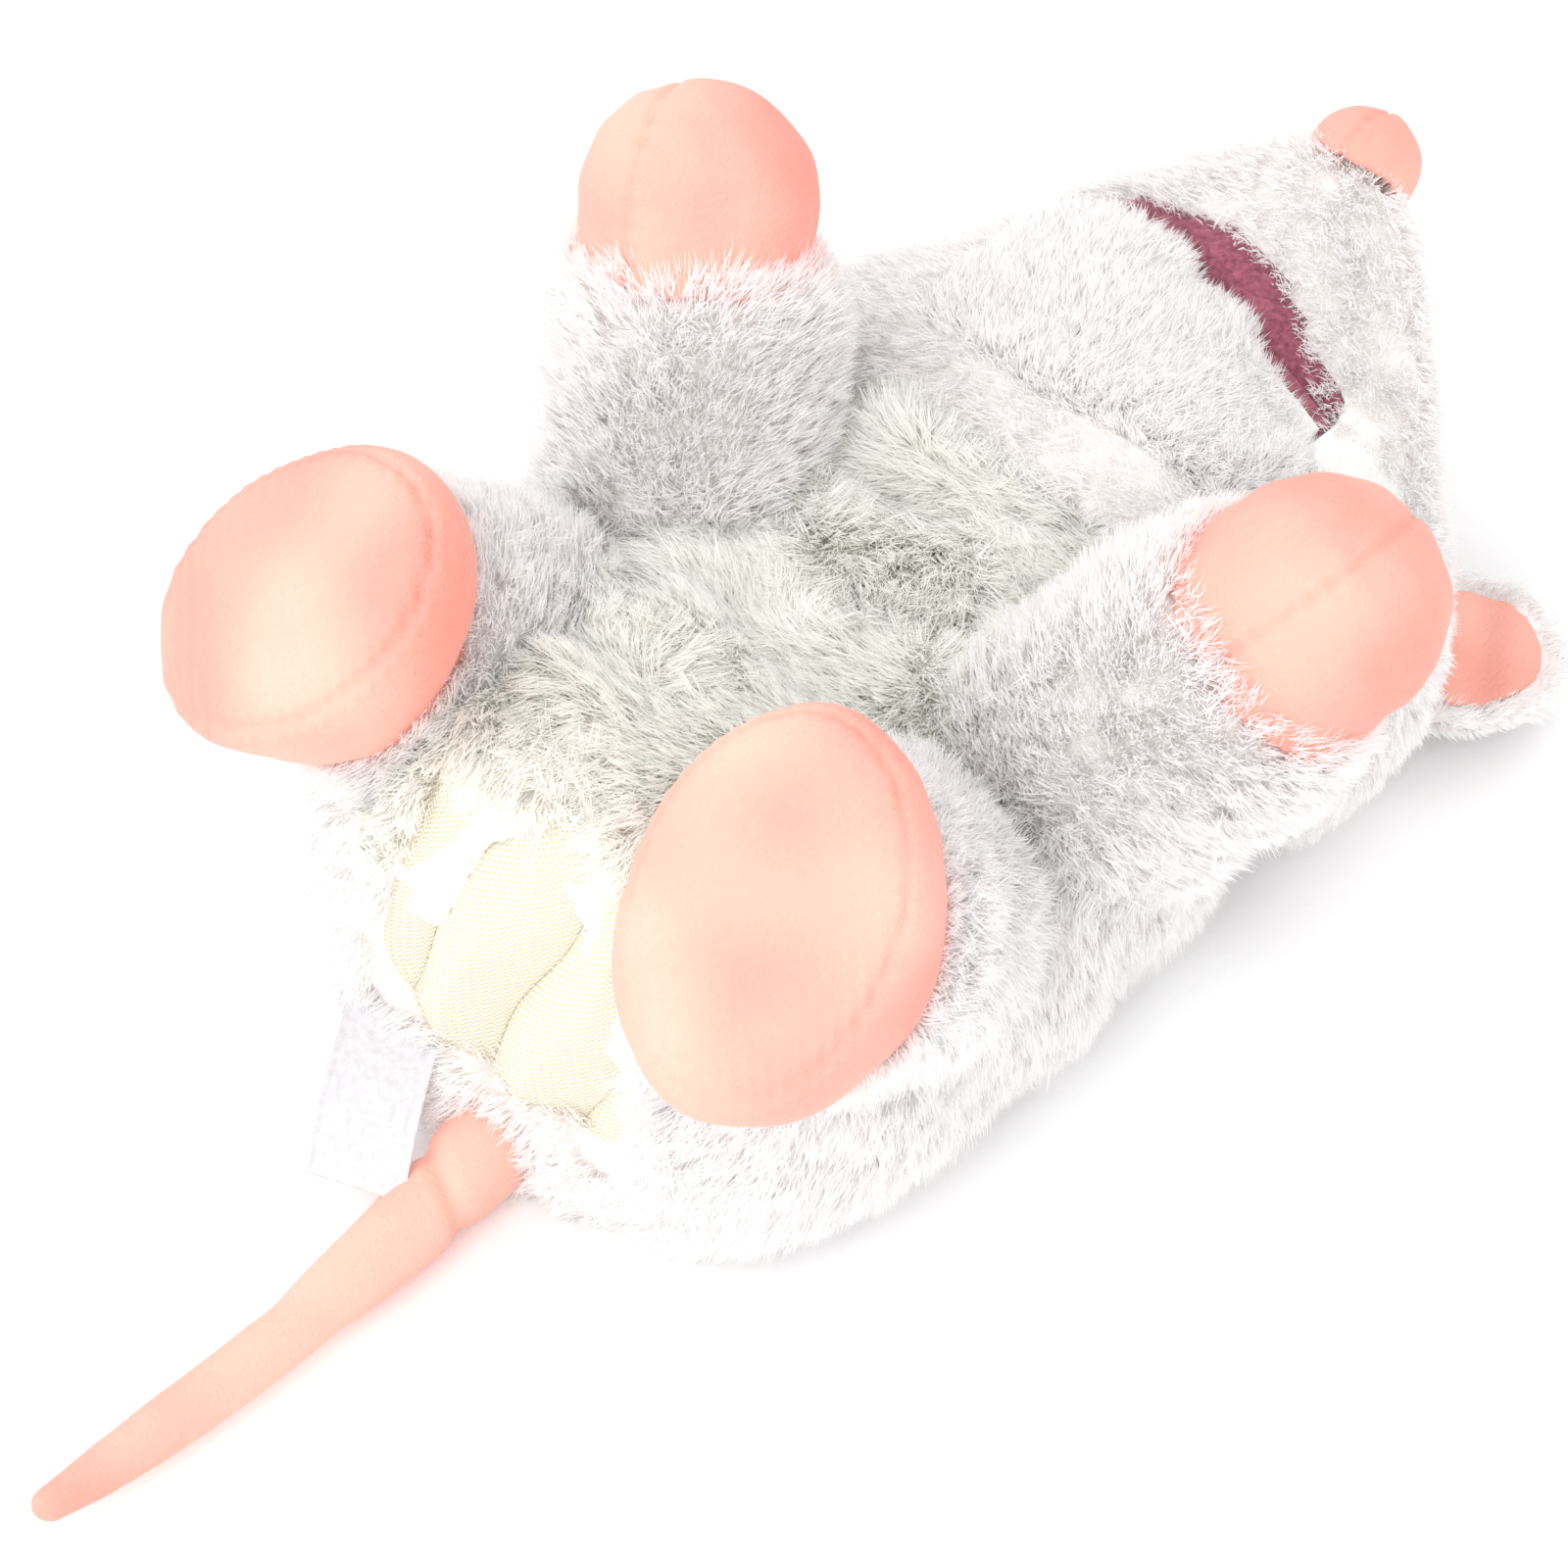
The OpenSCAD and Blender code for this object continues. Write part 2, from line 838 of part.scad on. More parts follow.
// Outline of half a hand, drawn in by inset.
function hand_outline(inset) =
    let (
        wide = arm_r - 2 - inset,
        start = cuff_z + seam_gap,
        belly = start + hand_belly,
        top = arm_len - inset
    )
    concat(
        [[0, start], [wide - 1, start], [wide, start + 5]],
        [for (angle = [0:10:90]) [wide * cos(angle), belly + (top - belly) * sin(angle)]]
    );

module hand(centre, direction) {
    color(peach)
        limb_at(centre, direction)
            rotate_extrude($fn = limb_fn)
                difference() {
                    polygon(hand_outline(0));
                    polygon(hand_outline(minky_t));
                    translate([-eps, cuff_z - 1]) square([arm_r - fur_t, 4]);
                }
}

module arm_stuffing(centre, direction) {
    slim = fur_t + seam_gap;
    color(batting)
        limb_at(centre, direction)
            rotate_extrude($fn = limb_fn)
                union() {
                    intersection() {
                        circle(r = arm_r - slim, $fn = limb_fn);
                        translate([0, -arm_r]) square([arm_r, arm_r + 1]);
                    }
                    square([arm_r - slim, cuff_z + 2]);
                    intersection() {
                        polygon(hand_outline(minky_t + seam_gap));
                        square([arm_r - slim, arm_len]);
                    }
                }
}

// ---- Legs ----

ankle_z = leg_len - foot_h;
sole_z = leg_len - sole_dome;

// A ring across a limb's own axis, wound so that lofts along +Z close outwards.
function oval(z, rx, ry, shift = 0) =
    [for (i = [0:ring_fn - 1])
        let (t = -360 * i / ring_fn)
        [shift + rx * cos(t), ry * sin(t), z]];

module leg_sleeve(centre, direction) {
    color(white_fur)
        limb_at(centre, direction)
            difference() {
                round_cup(leg_r, ankle_z);
                round_cup(leg_r - fur_t, ankle_z + 1);
            }
}

// The foot's sections from the ankle to the sole, drawn in by inset.
function foot_rings(inset) = [
    oval(ankle_z + seam_gap, leg_r + 1 - inset, leg_r - inset),
    oval(ankle_z + 9, sole_len * 0.46 - inset, sole_w * 0.52 - inset, sole_shift / 2),
    oval(sole_z - 6, sole_len * 0.505 - inset, sole_w * 0.52 - inset, sole_shift),
    oval(sole_z, sole_len / 2 - inset, sole_w / 2 - inset, sole_shift)
];

function reversed(list) = [for (i = [len(list) - 1:-1:0]) list[i]];

// A cup-shaped shell open at both ends.
module open_shell(outer, inner) {
    rings = concat(outer, reversed(inner));
    n = len(rings[0]);
    count = len(rings);
    polyhedron(
        concat([for (ring = rings) each ring]),
        [for (r = [0:count - 1], i = [0:n - 1])
            let (s = (r + 1) % count)
            each [[r * n + i, r * n + (i + 1) % n, s * n + (i + 1) % n],
                  [r * n + i, s * n + (i + 1) % n, s * n + i]]],
        convexity = 6
    );
}

module foot_upper(centre, direction, turn) {
    color(peach)
        limb_at(centre, direction, turn)
            open_shell(foot_rings(0), foot_rings(minky_t));
}

// Rings of the domed sole from its rim to its middle, lowered by drop.
function sole_rings(drop) = [
    for (angle = [0, 25, 50, 72, 88])
        oval(
            sole_z + seam_gap + (leg_len - sole_z - drop) * sin(angle),
            (sole_len / 2 - drop) * cos(angle),
            (sole_w / 2 - drop) * cos(angle),
            sole_shift
        )
];

module foot_sole(centre, direction, turn) {
    color(peach)
        limb_at(centre, direction, turn)
            loft(concat(reversed(sole_rings(minky_t)), sole_rings(0)));
}

module leg_stuffing(centre, direction, turn) {
    slim = minky_t + seam_gap;
    ball = leg_r - fur_t - 2 * seam_gap;
    color(batting)
        limb_at(centre, direction, turn)
            loft(concat(
                [for (angle = [-80, -50, -25]) oval(ball * sin(angle), ball * cos(angle), ball * cos(angle))],
                [oval(0, ball, ball), oval(ankle_z + seam_gap, ball, ball)],
                [for (i = [1:3]) foot_rings(slim)[i]],
                [for (i = [1:4]) sole_rings(slim)[i]]
            ));
}

// ---- Each sub-part by name ----

module left_leg_sleeve() leg_sleeve(hip, left_leg_dir);
module right_leg_sleeve() leg_sleeve(mirrored(hip), right_leg_dir);
module left_foot_upper() foot_upper(hip, left_leg_dir, left_toe_turn);
module right_foot_upper() foot_upper(mirrored(hip), right_leg_dir, right_toe_turn);
module left_foot_sole() foot_sole(hip, left_leg_dir, left_toe_turn);
module right_foot_sole() foot_sole(mirrored(hip), right_leg_dir, right_toe_turn);
module left_leg_stuffing() leg_stuffing(hip, left_leg_dir, left_toe_turn);
module right_leg_stuffing() leg_stuffing(mirrored(hip), right_leg_dir, right_toe_turn);
module left_arm_sleeve() arm_sleeve(shoulder, left_arm_dir);
module right_arm_sleeve() arm_sleeve(mirrored(shoulder), right_arm_dir);
module left_hand() hand(shoulder, left_arm_dir);
module right_hand() hand(mirrored(shoulder), right_arm_dir);
module left_arm_stuffing() arm_stuffing(shoulder, left_arm_dir);
module right_arm_stuffing() arm_stuffing(mirrored(shoulder), right_arm_dir);
module left_ear_back() ear_back(1);
module right_ear_back() ear_back(-1);
module left_ear_inner() ear_inner(1);
module right_ear_inner() ear_inner(-1);
module left_eye() eye(eye_seat, eye_dir);
module right_eye() eye(mirrored(eye_seat), mirrored(eye_dir));
module left_eye_washer() eye_washer(eye_seat, eye_dir);
module right_eye_washer() eye_washer(mirrored(eye_seat), mirrored(eye_dir));

back_panel();
belly_panel();
opening_hem();
lining_upper();
lining_lower();
stuffing_left_side();
stuffing_right_side();
care_label();
tail_cover();
tail_stuffing();
head_cover();
head_stuffing();
finger_pocket();
mouth_roof();
nose();
left_eye();
right_eye();
left_eye_washer();
right_eye_washer();
jaw_cover();
jaw_stuffing();
thumb_pocket();
mouth_floor();
left_ear_back();
left_ear_inner();
right_ear_back();
right_ear_inner();
left_arm_sleeve();
left_hand();
left_arm_stuffing();
right_arm_sleeve();
right_hand();
right_arm_stuffing();
left_leg_sleeve();
left_foot_upper();
left_foot_sole();
left_leg_stuffing();
right_leg_sleeve();
right_foot_upper();
right_foot_sole();
right_leg_stuffing();
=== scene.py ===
"""Plush mouse hand puppet: sewn skins, standing fur, knitted lining and the stage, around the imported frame."""
import json
import math

import bmesh
import bpy
import numpy as np
from bpy.props import FloatProperty, IntProperty, PointerProperty
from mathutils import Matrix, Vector
from mathutils.bvhtree import BVHTree
from mathutils.noise import noise


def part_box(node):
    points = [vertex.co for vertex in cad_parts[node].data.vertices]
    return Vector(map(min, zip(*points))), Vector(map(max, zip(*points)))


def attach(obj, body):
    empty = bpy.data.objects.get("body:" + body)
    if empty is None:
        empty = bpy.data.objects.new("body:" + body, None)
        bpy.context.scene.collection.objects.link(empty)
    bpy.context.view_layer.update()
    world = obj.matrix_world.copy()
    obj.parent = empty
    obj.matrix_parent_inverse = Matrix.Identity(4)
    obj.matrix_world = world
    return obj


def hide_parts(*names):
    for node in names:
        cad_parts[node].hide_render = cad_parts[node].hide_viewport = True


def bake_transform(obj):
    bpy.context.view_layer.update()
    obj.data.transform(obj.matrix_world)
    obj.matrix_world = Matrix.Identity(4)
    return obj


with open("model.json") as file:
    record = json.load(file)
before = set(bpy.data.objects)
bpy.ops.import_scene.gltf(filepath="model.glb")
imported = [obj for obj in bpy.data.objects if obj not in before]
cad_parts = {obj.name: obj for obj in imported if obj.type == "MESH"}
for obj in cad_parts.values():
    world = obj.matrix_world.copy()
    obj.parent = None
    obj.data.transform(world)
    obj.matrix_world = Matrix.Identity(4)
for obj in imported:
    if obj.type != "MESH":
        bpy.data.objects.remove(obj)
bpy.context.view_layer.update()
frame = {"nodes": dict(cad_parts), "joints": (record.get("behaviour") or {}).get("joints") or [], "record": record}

bl_info = {
    "name": "Plush Mouse Hand Puppet",
    "version": (1, 0, 0),
    "blender": (4, 5, 0),
    "location": "View3D > Sidebar > Puppet",
    "description": "Sews the skins, plants the fur and sets the stage of a plush hand puppet",
    "category": "Object",
}

JOINTS = {joint["child"]: joint for joint in frame["joints"]}
MM = 0.001
SIDES = ("left", "right")
JAW_GAP = math.radians(2.0)        # the jaw's cut lies this much under the snout's
FUR_FLOOR = 0.3 * MM               # no fibre hangs lower
EYE_CLEARING = 11 * MM             # radius without fur round an eye
BEND_RUN = 22                      # millimetres from a limb's joint to the end of the span that shoulder_bend gives


def joint_at(body):
    """Where a body's joint stands."""
    return Vector(JOINTS[body]["pos_m"])


def middle(node):
    """The middle of a CAD node's box."""
    low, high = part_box(node)
    return (Vector(low) + Vector(high)) / 2


# ---- Sizes and colours ----

def millimetres(name, default, description):
    """A length setting, by its size in millimetres."""
    return FloatProperty(name=name, description=description, default=default * MM, unit="LENGTH")


class FurSettings(bpy.types.PropertyGroup):
    """Pile of the faux fur."""
    pile: millimetres("Pile", 10, "Length of the body fur")
    belly_pile: millimetres("Belly pile", 13, "Length of the tousled belly fur")
    face_pile: millimetres("Face pile", 8, "Length of the fur on the head")
    fibre: millimetres("Fibre", 0.42, "Width of a lock of fibres")
    tufts: IntProperty(name="Tufts", description="Tufts on each quarter of the trunk", default=6400)
    locks: IntProperty(name="Fibres in a tuft", description="Fibres that lean together", default=9)


class SewnSettings(bpy.types.PropertyGroup):
    """Smooth sewn pieces."""
    voxel: millimetres("Cloth cell", 3.0, "Cell of the sewn skins")
    seam_width: millimetres("Seam", 1.1, "Half width of a seam's groove")
    seam_depth: millimetres("Seam depth", 1.3, "Depth of a seam's groove")
    mouth_tilt: FloatProperty(
        name="Mouth", description="Tilt of the closed mouth", default=math.radians(38), subtype="ANGLE")
    lip: millimetres("Lip", 5, "How far the jaw stays behind the snout")
    mouth_skew: millimetres("Mouth skew", 17, "How far the slit lies back on the left")
    pleats: IntProperty(name="Pleats", description="Gathers in the glove's lining", default=3)


# ---- Materials ----

def linear(hex_colour):
    """An sRGB hex colour as linear RGBA."""
    channels = [int(hex_colour[i:i + 2], 16) / 255 for i in (1, 3, 5)]
    return tuple(c / 12.92 if c <= 0.04045 else ((c + 0.055) / 1.055) ** 2.4 for c in channels) + (1,)


def add_node(tree, kind, settings=None, **inputs):
    """Adds a node, sets its properties, and sets or links its inputs by name."""
    node = tree.nodes.new(kind)
    for key, value in (settings or {}).items():
        setattr(node, key, value)
    for key, value in inputs.items():
        socket = node.inputs[int(key[1:])] if key[1:].isdigit() else node.inputs[key.replace("_", " ")]
        if isinstance(value, bpy.types.NodeSocket):
            tree.links.new(value, socket)
        else:
            socket.default_value = value
    return node


def new_material(name):
    """An empty material with a Principled shader."""
    material = bpy.data.materials.new(name)
    material.use_nodes = True
    tree = material.node_tree
    tree.nodes.clear()
    shader = add_node(tree, "ShaderNodeBsdfPrincipled")
    output = add_node(tree, "ShaderNodeOutputMaterial")
    tree.links.new(shader.outputs[0], output.inputs[0])
    return material, tree, shader


def set_inputs(shader, **values):
    """Sets a shader's inputs by name."""
    for key, value in values.items():
        shader.inputs[key.replace("_", " ")].default_value = value


def place_of(tree, kind="Object"):
    """The coordinates that a pattern follows."""
    return add_node(tree, "ShaderNodeTexCoord").outputs[kind]


def stretched(tree, place, scale):
    """Coordinates scaled differently along each axis, which turns grains into streaks."""
    return add_node(tree, "ShaderNodeMapping", None, Vector=place, Scale=scale).outputs[0]


def grain(tree, place, scale, detail=2.0):
    """Noise as a factor from 0 to 1."""
    return add_node(tree, "ShaderNodeTexNoise", None, Vector=place, Scale=scale, Detail=detail).outputs["Fac"]


def compute(tree, operation, *inputs):
    """The result of a Math node."""
    named = {f"i{i}": value for i, value in enumerate(inputs)}
    return add_node(tree, "ShaderNodeMath", {"operation": operation}, **named).outputs[0]


def colour_by(tree, shader, factor, *stops):
    """Colours a shader through (place, hex) stops."""
    tree.links.new(ramp(tree, factor, *stops), shader.inputs["Base Color"])


def ramp(tree, factor, *stops):
    """A colour ramp through (place, hex) stops."""
    node = add_node(tree, "ShaderNodeValToRGB", None, Fac=factor)
    elements = node.color_ramp.elements
    for i, (place, colour) in enumerate(stops):
        element = elements[i] if i < 2 else elements.new(place)
        element.position = place
        element.color = linear(colour)
    return node.outputs[0]


def bump(tree, shader, height, strength, distance):
    """Drives a shader's normal by a height."""
    node = add_node(tree, "ShaderNodeBump", None, Height=height, Strength=strength, Distance=distance)
    tree.links.new(node.outputs[0], shader.inputs["Normal"])


def fur_fibre(name, root, tip):
    """Acrylic faux fur: fine crimped fibres, white and slightly see-through at the tips, darker and warmer towards
    the roots, as painted shade where they crowd together with a cream tint.
    """
    material, tree, shader = new_material(name)
    root_shade_and_tone = add_node(tree, "ShaderNodeAttribute", {"attribute_name": "root_shade_and_tone"})
    patches = grain(tree, place_of(tree), 45.0)
    mixed = compute(tree, "MULTIPLY_ADD", patches, 0.12, root_shade_and_tone.outputs["Fac"])
    # the root colour is painted shade where the fibres crowd, with a cream tint; the tip colour is the fibres' white
    colour = ramp(tree, mixed, (0.05, root), (0.5, tip))
    tree.links.new(colour, shader.inputs["Base Color"])
    set_inputs(shader, Roughness=0.7, IOR=1.49, Specular_IOR_Level=0.3, Sheen_Weight=0.15, Sheen_Roughness=0.4)
    output = next(n for n in tree.nodes if n.type == "OUTPUT_MATERIAL")
    through = add_node(tree, "ShaderNodeBsdfTranslucent", None, Color=colour)
    both = add_node(tree, "ShaderNodeMixShader", None, i0=0.55, i1=shader.outputs[0], i2=through.outputs[0])
    tree.links.new(both.outputs[0], output.inputs[0])
    return material


def fur_backing(name, colour, shaded_valley):
    """The knitted back of the fur with its dense underfur: matt, streaked, and a little darker than the tips, where
    painted shade darkens the low places of the streaks.
    """
    material, tree, shader = new_material(name)
    fibres = grain(tree, stretched(tree, place_of(tree), (1500, 420, 900)), 1.0, 3.0)
    # the low places of the streaks, which the bump sinks, take the darker colour: painted shade
    colour_by(tree, shader, fibres, (0.3, shaded_valley), (0.65, colour))
    set_inputs(shader, Roughness=0.85, Sheen_Weight=0.4)
    bump(tree, shader, fibres, 0.6, 1.0 * MM)
    return material


def minky(name, light, deep):
    """Minky plush: a knit with a 2 mm pile that brushes lighter and darker, and a soft sheen at grazing angles."""
    material, tree, shader = new_material(name)
    place = place_of(tree)
    nap, pile = grain(tree, place, 22.0, 1.0), grain(tree, place, 900.0)
    strokes = grain(tree, stretched(tree, place, (700, 300, 520)), 1.0)
    colour_by(tree, shader, compute(tree, "MULTIPLY_ADD", strokes, 0.1, nap), (0.38, deep), (0.72, light))
    set_inputs(shader, Roughness=0.8, Sheen_Weight=0.25, Sheen_Roughness=0.45, Sheen_Tint=linear("#ffe3d8"))
    bump(tree, shader, compute(tree, "ADD", pile, strokes), 0.45, 0.6 * MM)
    return material


def tricot(name, light, shaded_valley, on_uv):
    """Warp-knit tricot: fine ribs whose stitches lean one way and then the other, like a herringbone."""
    material, tree, shader = new_material(name)
    rib = 1.7 * MM
    place = place_of(tree, "UV" if on_uv else "Object")
    split = add_node(tree, "ShaderNodeSeparateXYZ", None, Vector=place)
    lean = compute(tree, "PINGPONG", split.outputs[0], rib)
    slanted = compute(tree, "MULTIPLY_ADD", lean, 0.9, split.outputs[1])
    wave = compute(tree, "SINE", compute(tree, "MULTIPLY", slanted, 2 * math.pi / rib))
    share = add_node(tree, "ShaderNodeMapRange", None, Value=wave, From_Min=-1.0, From_Max=1.0).outputs[0]
    # the rib troughs, which the bump sinks, take the darker colour: painted shade
    colour_by(tree, shader, share, (0.05, shaded_valley), (0.6, light))
    set_inputs(shader, Roughness=0.65, Sheen_Weight=0.3, Subsurface_Weight=0.15,
               Subsurface_Radius=(0.004, 0.0035, 0.002))
    bump(tree, shader, share, 0.8, 0.35 * MM)
    return material


def satin(name):
    """Woven satin ribbon: smooth and slightly glossy across fine threads, with a matt woven edge."""
    material, tree, shader = new_material(name)
    place = place_of(tree, "UV")
    threads = add_node(tree, "ShaderNodeTexWave", {"bands_direction": "X"}, Vector=place, Scale=900.0)
    colour_by(tree, shader, grain(tree, place, 500.0), (0.3, "#c9cacf"), (0.7, "#d9dadf"))
    set_inputs(shader, Roughness=0.38, Anisotropic=0.4)
    bump(tree, shader, threads.outputs["Fac"], 0.25, 0.1 * MM)
    return material


def brushed_knit(name, light, dark, scale, roughness):
    """A brushed or fibrous cloth: short tangled fibres that take the light softly."""
    material, tree, shader = new_material(name)
    fibres = grain(tree, place_of(tree), scale, 5.0)
    colour_by(tree, shader, fibres, (0.3, dark), (0.7, light))
    set_inputs(shader, Roughness=roughness, Sheen_Weight=0.4)
    bump(tree, shader, fibres, 0.5, 0.5 * MM)
    return material


def moulded(name, colour, worn, roughness, coat):
    """Moulded plastic: an even body with faint handling haze."""
    material, tree, shader = new_material(name)
    colour_by(tree, shader, grain(tree, place_of(tree), 300.0, 3.0), (0.4, colour), (0.9, worn))
    set_inputs(shader, Roughness=roughness, Coat_Weight=coat, Coat_Roughness=0.05)
    return material


MATERIALS = {}


def make_materials():
    """Every finish of the puppet, by a short name."""
    MATERIALS.update(
        # each fibre material's first colour, at the roots, is painted shade with a cream tint
        white_fibre=fur_fibre("white_faux_fur_fibre", "#f1ecea", "#fffefe"),
        cream_fibre=fur_fibre("cream_faux_fur_fibre", "#f9f4ec", "#fffffc"),
        # each backing's second colour is painted shade in the low places of its streaks
        white_back=fur_backing("white_faux_fur_backing", "#fefcfb", "#f3eeeb"),
        cream_back=fur_backing("cream_faux_fur_backing", "#fffdf8", "#f8f1e6"),
        peach=minky("peach_minky_plush", "#f8b9a8", "#f39b8c"),
        # each knit's second colour is painted shade in its rib troughs
        knit=tricot("ivory_tricot_gathered", "#f3efe4", "#d9cca4", True),
        knit_flat=tricot("ivory_tricot_flat", "#f0eadb", "#d6c9a2", False),
        label=satin("white_satin_ribbon"),
        mouth=brushed_knit("rose_brushed_fleece", "#a3566a", "#6f3042", 600.0, 0.85),
        filling=brushed_knit("white_polyester_filling", "#fbfbf9", "#e6e4df", 180.0, 0.95),
        eye=moulded("polished_black_eye_plastic", "#0b0a0a", "#1a1817", 0.08, 0.6),
        washer=moulded("white_washer_polyethylene", "#ecebe8", "#d9d7d2", 0.5, 0.0),
    )


def paint(piece, material):
    """Gives a piece one material."""
    piece.data.materials.clear()
    piece.data.materials.append(material)


# ---- Sewn skins ----

def select_only(*pieces):
    """Selects these objects and nothing else."""
    bpy.ops.object.select_all(action="DESELECT")
    for piece in pieces:
        piece.select_set(True)
    bpy.context.view_layer.objects.active = pieces[0]


def apply_modifier(piece, kind, **settings):
    """Adds a modifier and applies it."""
    select_only(piece)
    modifier = piece.modifiers.new(kind.lower(), kind)
    for key, value in settings.items():
        setattr(modifier, key, value)
    bpy.ops.object.modifier_apply(modifier=modifier.name)


def joined_copy(name, nodes, balls=()):
    """One mesh from copies of CAD nodes, with balls that fill the hollows of the joints."""
    parts = []
    for node in nodes:
        copy = bpy.data.objects.new(name + "_" + node, frame["nodes"][node].data.copy())
        bpy.context.scene.collection.objects.link(copy)
        parts.append(copy)
    for centre, radius in balls:
        bpy.ops.object.select_all(action="DESELECT")
        bpy.ops.mesh.primitive_uv_sphere_add(radius=radius, location=centre, segments=40, ring_count=20)
        parts.append(bpy.context.object)
    select_only(*parts)
    bpy.ops.object.transform_apply(location=True, rotation=True, scale=True)
    bpy.ops.object.join()
    piece = bpy.context.object
    piece.name = piece.data.name = name
    piece.data.materials.clear()
    return piece


def remesh(piece, cell, rounds, swell=0.0):
    """Turns a piece into one closed even skin, relaxes it and swells it a little."""
    apply_modifier(piece, "REMESH", mode="VOXEL", voxel_size=cell, adaptivity=0.0)
    apply_modifier(piece, "SMOOTH", factor=0.5, iterations=rounds)
    put_points(piece.data, points_of(piece.data) + normals_of(piece.data) * swell)
    select_only(piece)
    bpy.ops.object.shade_smooth()
    return piece


def points_of(mesh):
    """A mesh's points as an array."""
    flat = np.empty(len(mesh.vertices) * 3, np.float32)
    mesh.vertices.foreach_get("co", flat)
    return flat.reshape(-1, 3).astype(float)


def normals_of(mesh):
    """A mesh's point normals as an array."""
    flat = np.empty(len(mesh.vertices) * 3, np.float32)
    mesh.vertices.foreach_get("normal", flat)
    return flat.reshape(-1, 3).astype(float)


def put_points(mesh, points):
    """Writes an array back as a mesh's points."""
    mesh.vertices.foreach_set("co", points.astype(np.float32).ravel())
    mesh.update()


def waves(points, scale, seed):
    """Smooth noise at points, from -1 to 1, as a sum of slanted waves."""
    rng = np.random.default_rng(seed)
    total = np.zeros(len(points))
    for _ in range(7):
        direction = rng.normal(size=3)
        direction /= np.linalg.norm(direction)
        total += np.sin(points @ direction * (2 * math.pi / scale) * rng.uniform(0.6, 1.7) + rng.uniform(0, 6.28))
    return total / 3.5


def crumple(piece, amount, scale, seed):
    """Moves the skin in and out a little, as loosely filled cloth lies."""
    points, normals = points_of(piece.data), normals_of(piece.data)
    put_points(piece.data, points + normals * (waves(points, scale, seed) * amount)[:, None])


def stay_above(piece, height):
    """Flattens what hangs below a height, where the piece lies on the floor."""
    points = points_of(piece.data)
    points[:, 2] = np.maximum(points[:, 2], height)
    put_points(piece.data, points)


def seam(piece, distance, pucker_along, width, depth):
    """Sinks a seam's groove where distance is small, with puckers along it."""
    points, normals = points_of(piece.data), normals_of(piece.data)
    away = distance(points)
    groove = np.exp(-(away / width) ** 2) * depth
    stitches = np.sin(pucker_along(points) * 2 * math.pi / (5 * MM))
    puckers = np.exp(-(away / (3.5 * width)) ** 2) * stitches * 0.22 * depth
    put_points(piece.data, points - normals * (groove + puckers)[:, None])


def puff(piece, pressure, travel):
    """Swells the cloth of a padded piece by its filling, and caps how far it moves."""
    rest = points_of(piece.data)
    select_only(piece)
    cloth = piece.modifiers.new("cloth", "CLOTH")
    cloth.settings.use_pressure = True
    cloth.settings.uniform_pressure_force = pressure
    cloth.settings.effector_weights.gravity = 0
    cloth.settings.tension_stiffness = 12
    cloth.settings.compression_stiffness = 12
    cloth.settings.bending_stiffness = 0.4
    cloth.point_cache.frame_start = 1
    cloth.point_cache.frame_end = 20
    scene = bpy.context.scene
    for step in range(1, 21):
        scene.frame_set(step)
    bpy.ops.object.modifier_apply(modifier=cloth.name)
    scene.frame_set(1)
    moved = points_of(piece.data) - rest
    moved -= moved.mean(axis=0)
    put_points(piece.data, rest)
    normals = normals_of(piece.data)
    outward = np.clip((moved * normals).sum(axis=1), 0, travel)
    put_points(piece.data, rest + normals * outward[:, None])


def slice_off(piece, point, normal, keep_ahead):
    """Cuts a piece by a plane, keeps one side of it and closes the cut."""
    select_only(piece)
    bpy.ops.object.mode_set(mode="EDIT")
    bpy.ops.mesh.select_all(action="SELECT")
    bpy.ops.mesh.bisect(
        plane_co=point, plane_no=normal, use_fill=True, clear_inner=keep_ahead, clear_outer=not keep_ahead)
    bpy.ops.mesh.select_all(action="SELECT")
    bpy.ops.mesh.normals_make_consistent(inside=False)
    bpy.ops.object.mode_set(mode="OBJECT")


def duplicate(piece, name):
    """A copy of a piece with its own mesh."""
    copy = bpy.data.objects.new(name, piece.data.copy())
    bpy.context.scene.collection.objects.link(copy)
    return copy


def trim(piece, spare, lift, thickness):
    """Takes spare(middle, normal) faces off a skin's copy, lifts the rest by millimetres and gives it a thickness."""
    mesh = bmesh.new()
    mesh.from_mesh(piece.data)
    faces = [face for face in mesh.faces if spare(face.calc_center_median(), face.normal)]
    bmesh.ops.delete(mesh, geom=faces, context="FACES")
    for vertex in mesh.verts:
        vertex.co += vertex.normal * lift * MM
    mesh.to_mesh(piece.data)
    mesh.free()
    apply_modifier(piece, "SOLIDIFY", thickness=thickness, offset=-1.0)


def cloth(name, columns, rows, place, flat, thickness, offset):
    """A sheet of cloth whose points place(i, j) gives. Its UV map is its flat size in metres."""
    mesh = bmesh.new()
    uv = mesh.loops.layers.uv.new("cloth")
    grid = [[mesh.verts.new(place(i, j)) for i in range(columns + 1)] for j in range(rows + 1)]
    for j in range(rows):
        for i in range(columns):
            corners = ((i, j), (i + 1, j), (i + 1, j + 1), (i, j + 1))
            face = mesh.faces.new([grid[b][a] for a, b in corners])
            for loop, (a, b) in zip(face.loops, corners):
                loop[uv].uv = (a / columns * flat[0], b / rows * flat[1])
    data = bpy.data.meshes.new(name)
    mesh.to_mesh(data)
    mesh.free()
    piece = bpy.data.objects.new(name, data)
    bpy.context.scene.collection.objects.link(piece)
    apply_modifier(piece, "SOLIDIFY", thickness=thickness, offset=offset)
    select_only(piece)
    return piece


# ---- Fur ----

